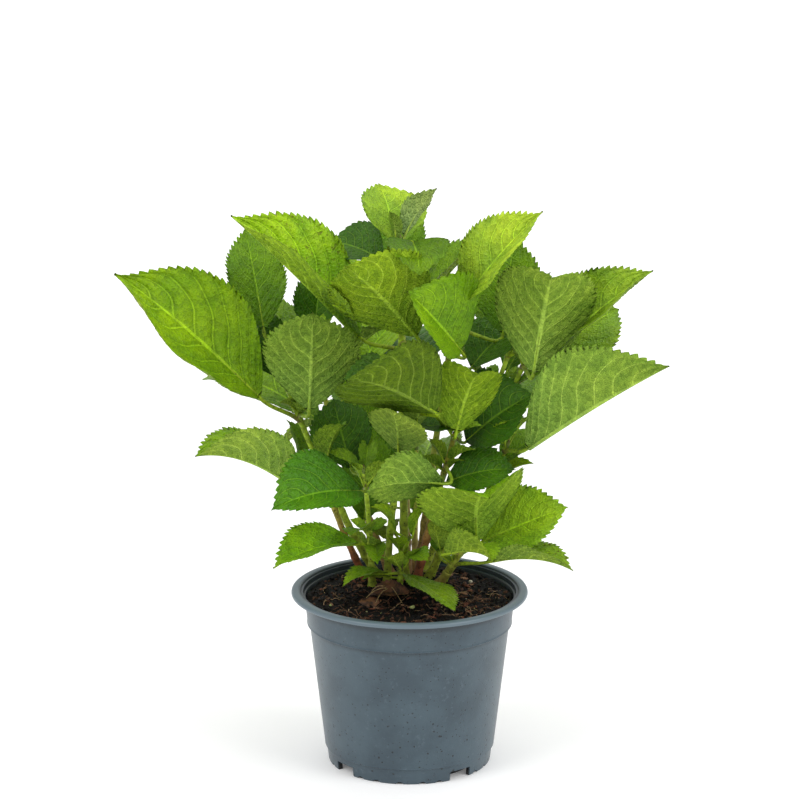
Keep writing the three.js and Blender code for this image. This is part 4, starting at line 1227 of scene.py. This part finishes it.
def leaf_under():
    g = Graph("leaf_under", 0.62, 0.18)
    lines, net, swell, number, ridge, s = vein_lines(g, 0.24)
    patch = g.band(g.noise(g.place(), 44.0, 4.0, 0.6), 0.36, 0.66)
    colour = g.attribute("lower_colour").outputs["Color"]
    base = g.vary(patch, colour, (0.86, 0.90, 0.88), (1.12, 1.07, 1.1))
    # Painted shade: darker and bluer towards the base of the blade, lighter towards its tip
    base = g.vary(g.band(s, 0.0, 0.75), base, (0.86, 0.90, 1.1), (1.06, 1.03, 0.9))
    # Painted shade: darker in the hollows between the raised veins
    base = g.vary(g.band(ridge, 0.1, 0.8), base, 1.05, (0.88, 0.91, 0.88))
    base = g.vary(number, base, (0.74, 0.79, 0.76), 1.18)
    base = g.blend(g.times(net, 0.45), base, g.tint(base, (1.5, 1.38, 1.5)))
    pale = g.blend(1.0, g.tint(base, 1.3), VEIN_BELOW, "ADD")
    base = g.blend(g.times(lines, 0.85), base, pale)
    raised = g.math("SUBTRACT", lines, g.band(swell, 0.0, 0.3))
    return g.finish(base, raised, 0.85, 0.0008)


def bark():
    g = Graph("bark", 0.6, 0.35)
    tone = g.attribute("tone").outputs["Color"]
    patch = g.noise(g.place(), 240.0, 4.0)
    spots = g.pits(g.place(), 520.0, 0.36, 0.55)
    base = g.vary(g.band(patch, 0.3, 0.7), tone, 0.68, 1.3)
    base = g.blend(g.times(spots, 0.85), base, g.tint(tone, 0.16))
    return g.finish(base, g.math("ADD", patch, spots), 0.5, 0.0004)


# Peat and what lies on it, each piece with the tone of its points
def loose(name, roughness, scale):
    g = Graph(name, roughness, 0.22)
    grain = g.noise(g.place(), scale, 6.0, 0.65)
    base = g.vary(g.band(grain, 0.3, 0.72), g.attribute("tone").outputs["Color"], 0.35, 1.6)
    return g.finish(base, grain, 0.9, 0.0012)


# Recycled plastic: blue-grey, flecked with dark pits and pale scuffs, with painted shade inside,
# under the lip and under the foot, and a painted highlight on the lip. Places in it are in metres
def pot_plastic():
    g = Graph("pot_plastic", 0.36, 0.5)
    place = g.place()
    x, y, z = g.node("SeparateXYZ", {0: place}).outputs
    across = g.math("SQRT", g.math("ADD", g.math("POWER", x, 2.0), g.math("POWER", y, 2.0)))
    cloud = g.noise(place, 26.0, 5.0, 0.6)
    base = g.blend(g.band(cloud, 0.32, 0.68), *PLASTIC)
    scuffs = g.band(g.noise(place, 190.0, 4.0, 0.75), 0.56, 0.72)
    base = g.blend(g.times(scuffs, 0.5), base, SCUFF)
    rough = g.warped(place, 420.0, 0.0016)
    pits = g.times(g.pits(rough, 190.0, 0.21, 0.50), g.band(z, 0.125, 0.02, 0.25, 1.0))
    pits = g.most(pits, g.times(g.pits(rough, 340.0, 0.22, 0.55), 0.85))
    base = g.blend(g.times(pits, 0.9), base, PIT)
    wall = g.math("SUBTRACT", across, g.times(z, 0.13))
    # Painted shade: the inner wall darkened
    inside_shade = g.times(g.band(wall, 0.0665, 0.0657), g.band(z, 0.110, 0.118))
    # Painted shade: the wall just under the lip darkened, where the lip shades it
    under_lip_shade = g.times(g.band(across, 0.0881, 0.0875), g.band(z, 0.1305, 0.1350))
    inside_shade = g.most(inside_shade, g.times(under_lip_shade, 0.75))
    base = g.blend(g.times(inside_shade, 0.7), base, INSIDE_SHADE)
    under_foot_shade = g.times(g.band(across, 0.0650, 0.0644), g.band(z, 0.0105, 0.0095))
    # Painted shade: the inner faces of the foot ring and of the vents darkened
    base = g.blend(under_foot_shade, base, UNDER_FOOT_SHADE)
    lip_highlight = g.times(g.band(across, 0.0884, 0.0900), g.band(z, 0.1388, 0.1394))
    # Painted highlight: the top of the lip made paler
    base = g.blend(g.times(lip_highlight, 0.85), base, LIP_HIGHLIGHT)
    height = g.math("SUBTRACT", g.times(g.noise(place, 700.0, 3.0), 0.5), pits)
    return g.finish(base, height, 0.45, 0.0004)


# Dry brown leaf, darker in blotches and puckered
def dead_skin(name, colour):
    g = Graph(name, 0.6)
    blotch = g.band(g.noise(g.place(), 160.0, 4.0, 0.6), 0.4, 0.6)
    base = g.blend(blotch, tuple(0.3 * c for c in colour), tuple(1.5 * c for c in colour))
    return g.finish(base, g.noise(g.place(), 260.0, 4.0, 0.6), 0.9, 0.002)


# Floor, lights and camera

FLOOR_REACH = 40.0
FLOOR_TONE = 0.92
FLOOR_GLOW = 0.14
WORLD_LIGHT = 0.66
# Suns: the way that each lies from the plant, its strength and how wide it is in degrees
SUNS = {
    "left": ((-1.2, -0.9, 1.5), 1.0, 30),
    "right": ((1.4, -0.8, 1.3), 1.15, 35),
    "back": ((0.2, 0.6, 1.5), 0.7, 50),
}


def make_stage():
    g = Graph("floor", 0.9)
    g.feed(g.shader.inputs["Emission Color"], (1.0, 1.0, 1.0))
    g.feed(g.shader.inputs["Emission Strength"], FLOOR_GLOW)
    mesh = bpy.data.meshes.new("floor")
    corners = [(-1, -1, 0), (1, -1, 0), (1, 1, 0), (-1, 1, 0)]
    mesh.from_pydata([Vector(corner) * FLOOR_REACH for corner in corners], [], [(0, 1, 2, 3)])
    mesh.materials.append(g.finish((FLOOR_TONE,) * 3))
    floor = bpy.data.objects.new("floor", mesh)
    bpy.context.scene.collection.objects.link(floor)


def make_lights():
    world = bpy.data.worlds.new("world")
    bpy.context.scene.world = world
    world.use_nodes = True
    background = world.node_tree.nodes["Background"]
    background.inputs[0].default_value = (1, 1, 1, 1)
    background.inputs[1].default_value = WORLD_LIGHT
    for name, (place, strength, angle) in SUNS.items():
        light = bpy.data.lights.new(name, "SUN")
        light.energy = strength
        light.angle = math.radians(angle)
        thing = bpy.data.objects.new(name, light)
        thing.rotation_euler = (-Vector(place)).to_track_quat("-Z", "Y").to_euler()
        bpy.context.scene.collection.objects.link(thing)


def make_camera():
    camera = bpy.data.cameras.new("camera")
    camera.lens = CAMERA_LENS
    camera.sensor_width = CAMERA_SENSOR
    camera.clip_start, camera.clip_end = CAMERA_CLIP
    thing = bpy.data.objects.new("camera", camera)
    thing.location = Vector(CAMERA_PLACE) * MM
    thing.rotation_euler = (math.radians(90 - CAMERA_PITCH), 0, 0)
    scene = bpy.context.scene
    scene.collection.objects.link(thing)
    scene.camera = thing
    scene.view_settings.view_transform = "Standard"
    scene.view_settings.look = "None"


def claim(thing, node):
    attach(thing, "root")
    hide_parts(node)


def make_shoots(leaf_materials, bark_material):
    grown = leaves_by_shoot()
    for number, s in enumerate(SHOOTS):
        leaves = grown[s["name"]]
        bough, twigs, blades = Pile(), Pile(), Pile()
        add_stem(bough, twigs, s, leaves)
        low = [leaf for leaf in leaves if leaf["long"] > AXIL_LEAF_LONG and leaf["root"][2] < YOUNG_BELOW_Z]
        for k, leaf in enumerate(low):
            leaves = leaves + [young_leaf(s, leaf, side, 0.37 * k + number) for side in (-1, 1)]
        cells = math.ceil(math.sqrt(len(leaves)))
        for k, leaf in enumerate(leaves):
            add_petiole(twigs, leaf)
            add_blade(blades, leaf, 0.31 * k + 0.17 * number, (k % cells, k // cells, cells))
        claim(bough.make(f"limb_{s['name']}", [bark_material]), f"bough_{s['name']}")
        claim(twigs.make(f"twigs_{s['name']}", [bark_material]), f"mass_{s['name']}")
        claim(blades.make(f"leaves_{s['name']}", leaf_materials), f"mass_{s['name']}")


def make_pot_and_peat():
    claim(make_pot(pot_plastic()), "pot")
    random = np.random.default_rng(11)
    lump = lump_shape()
    claim(make_peat_body(loose("peat_ground", 0.75, 420.0)), "peat")
    claim(make_peat_crumbs(loose("peat_crumb", 0.6, 700.0), random, lump), "peat")
    claim(make_peat_litter(loose("peat_litter", 0.85, 900.0), random, lump), "peat")
    claim(make_dead_leaves([dead_skin(*item) for item in DEAD_COLOURS.items()]), "peat")


def main():
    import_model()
    make_camera()
    make_lights()
    make_stage()
    make_pot_and_peat()
    make_shoots([leaf_upper(), leaf_under()], bark())


main()
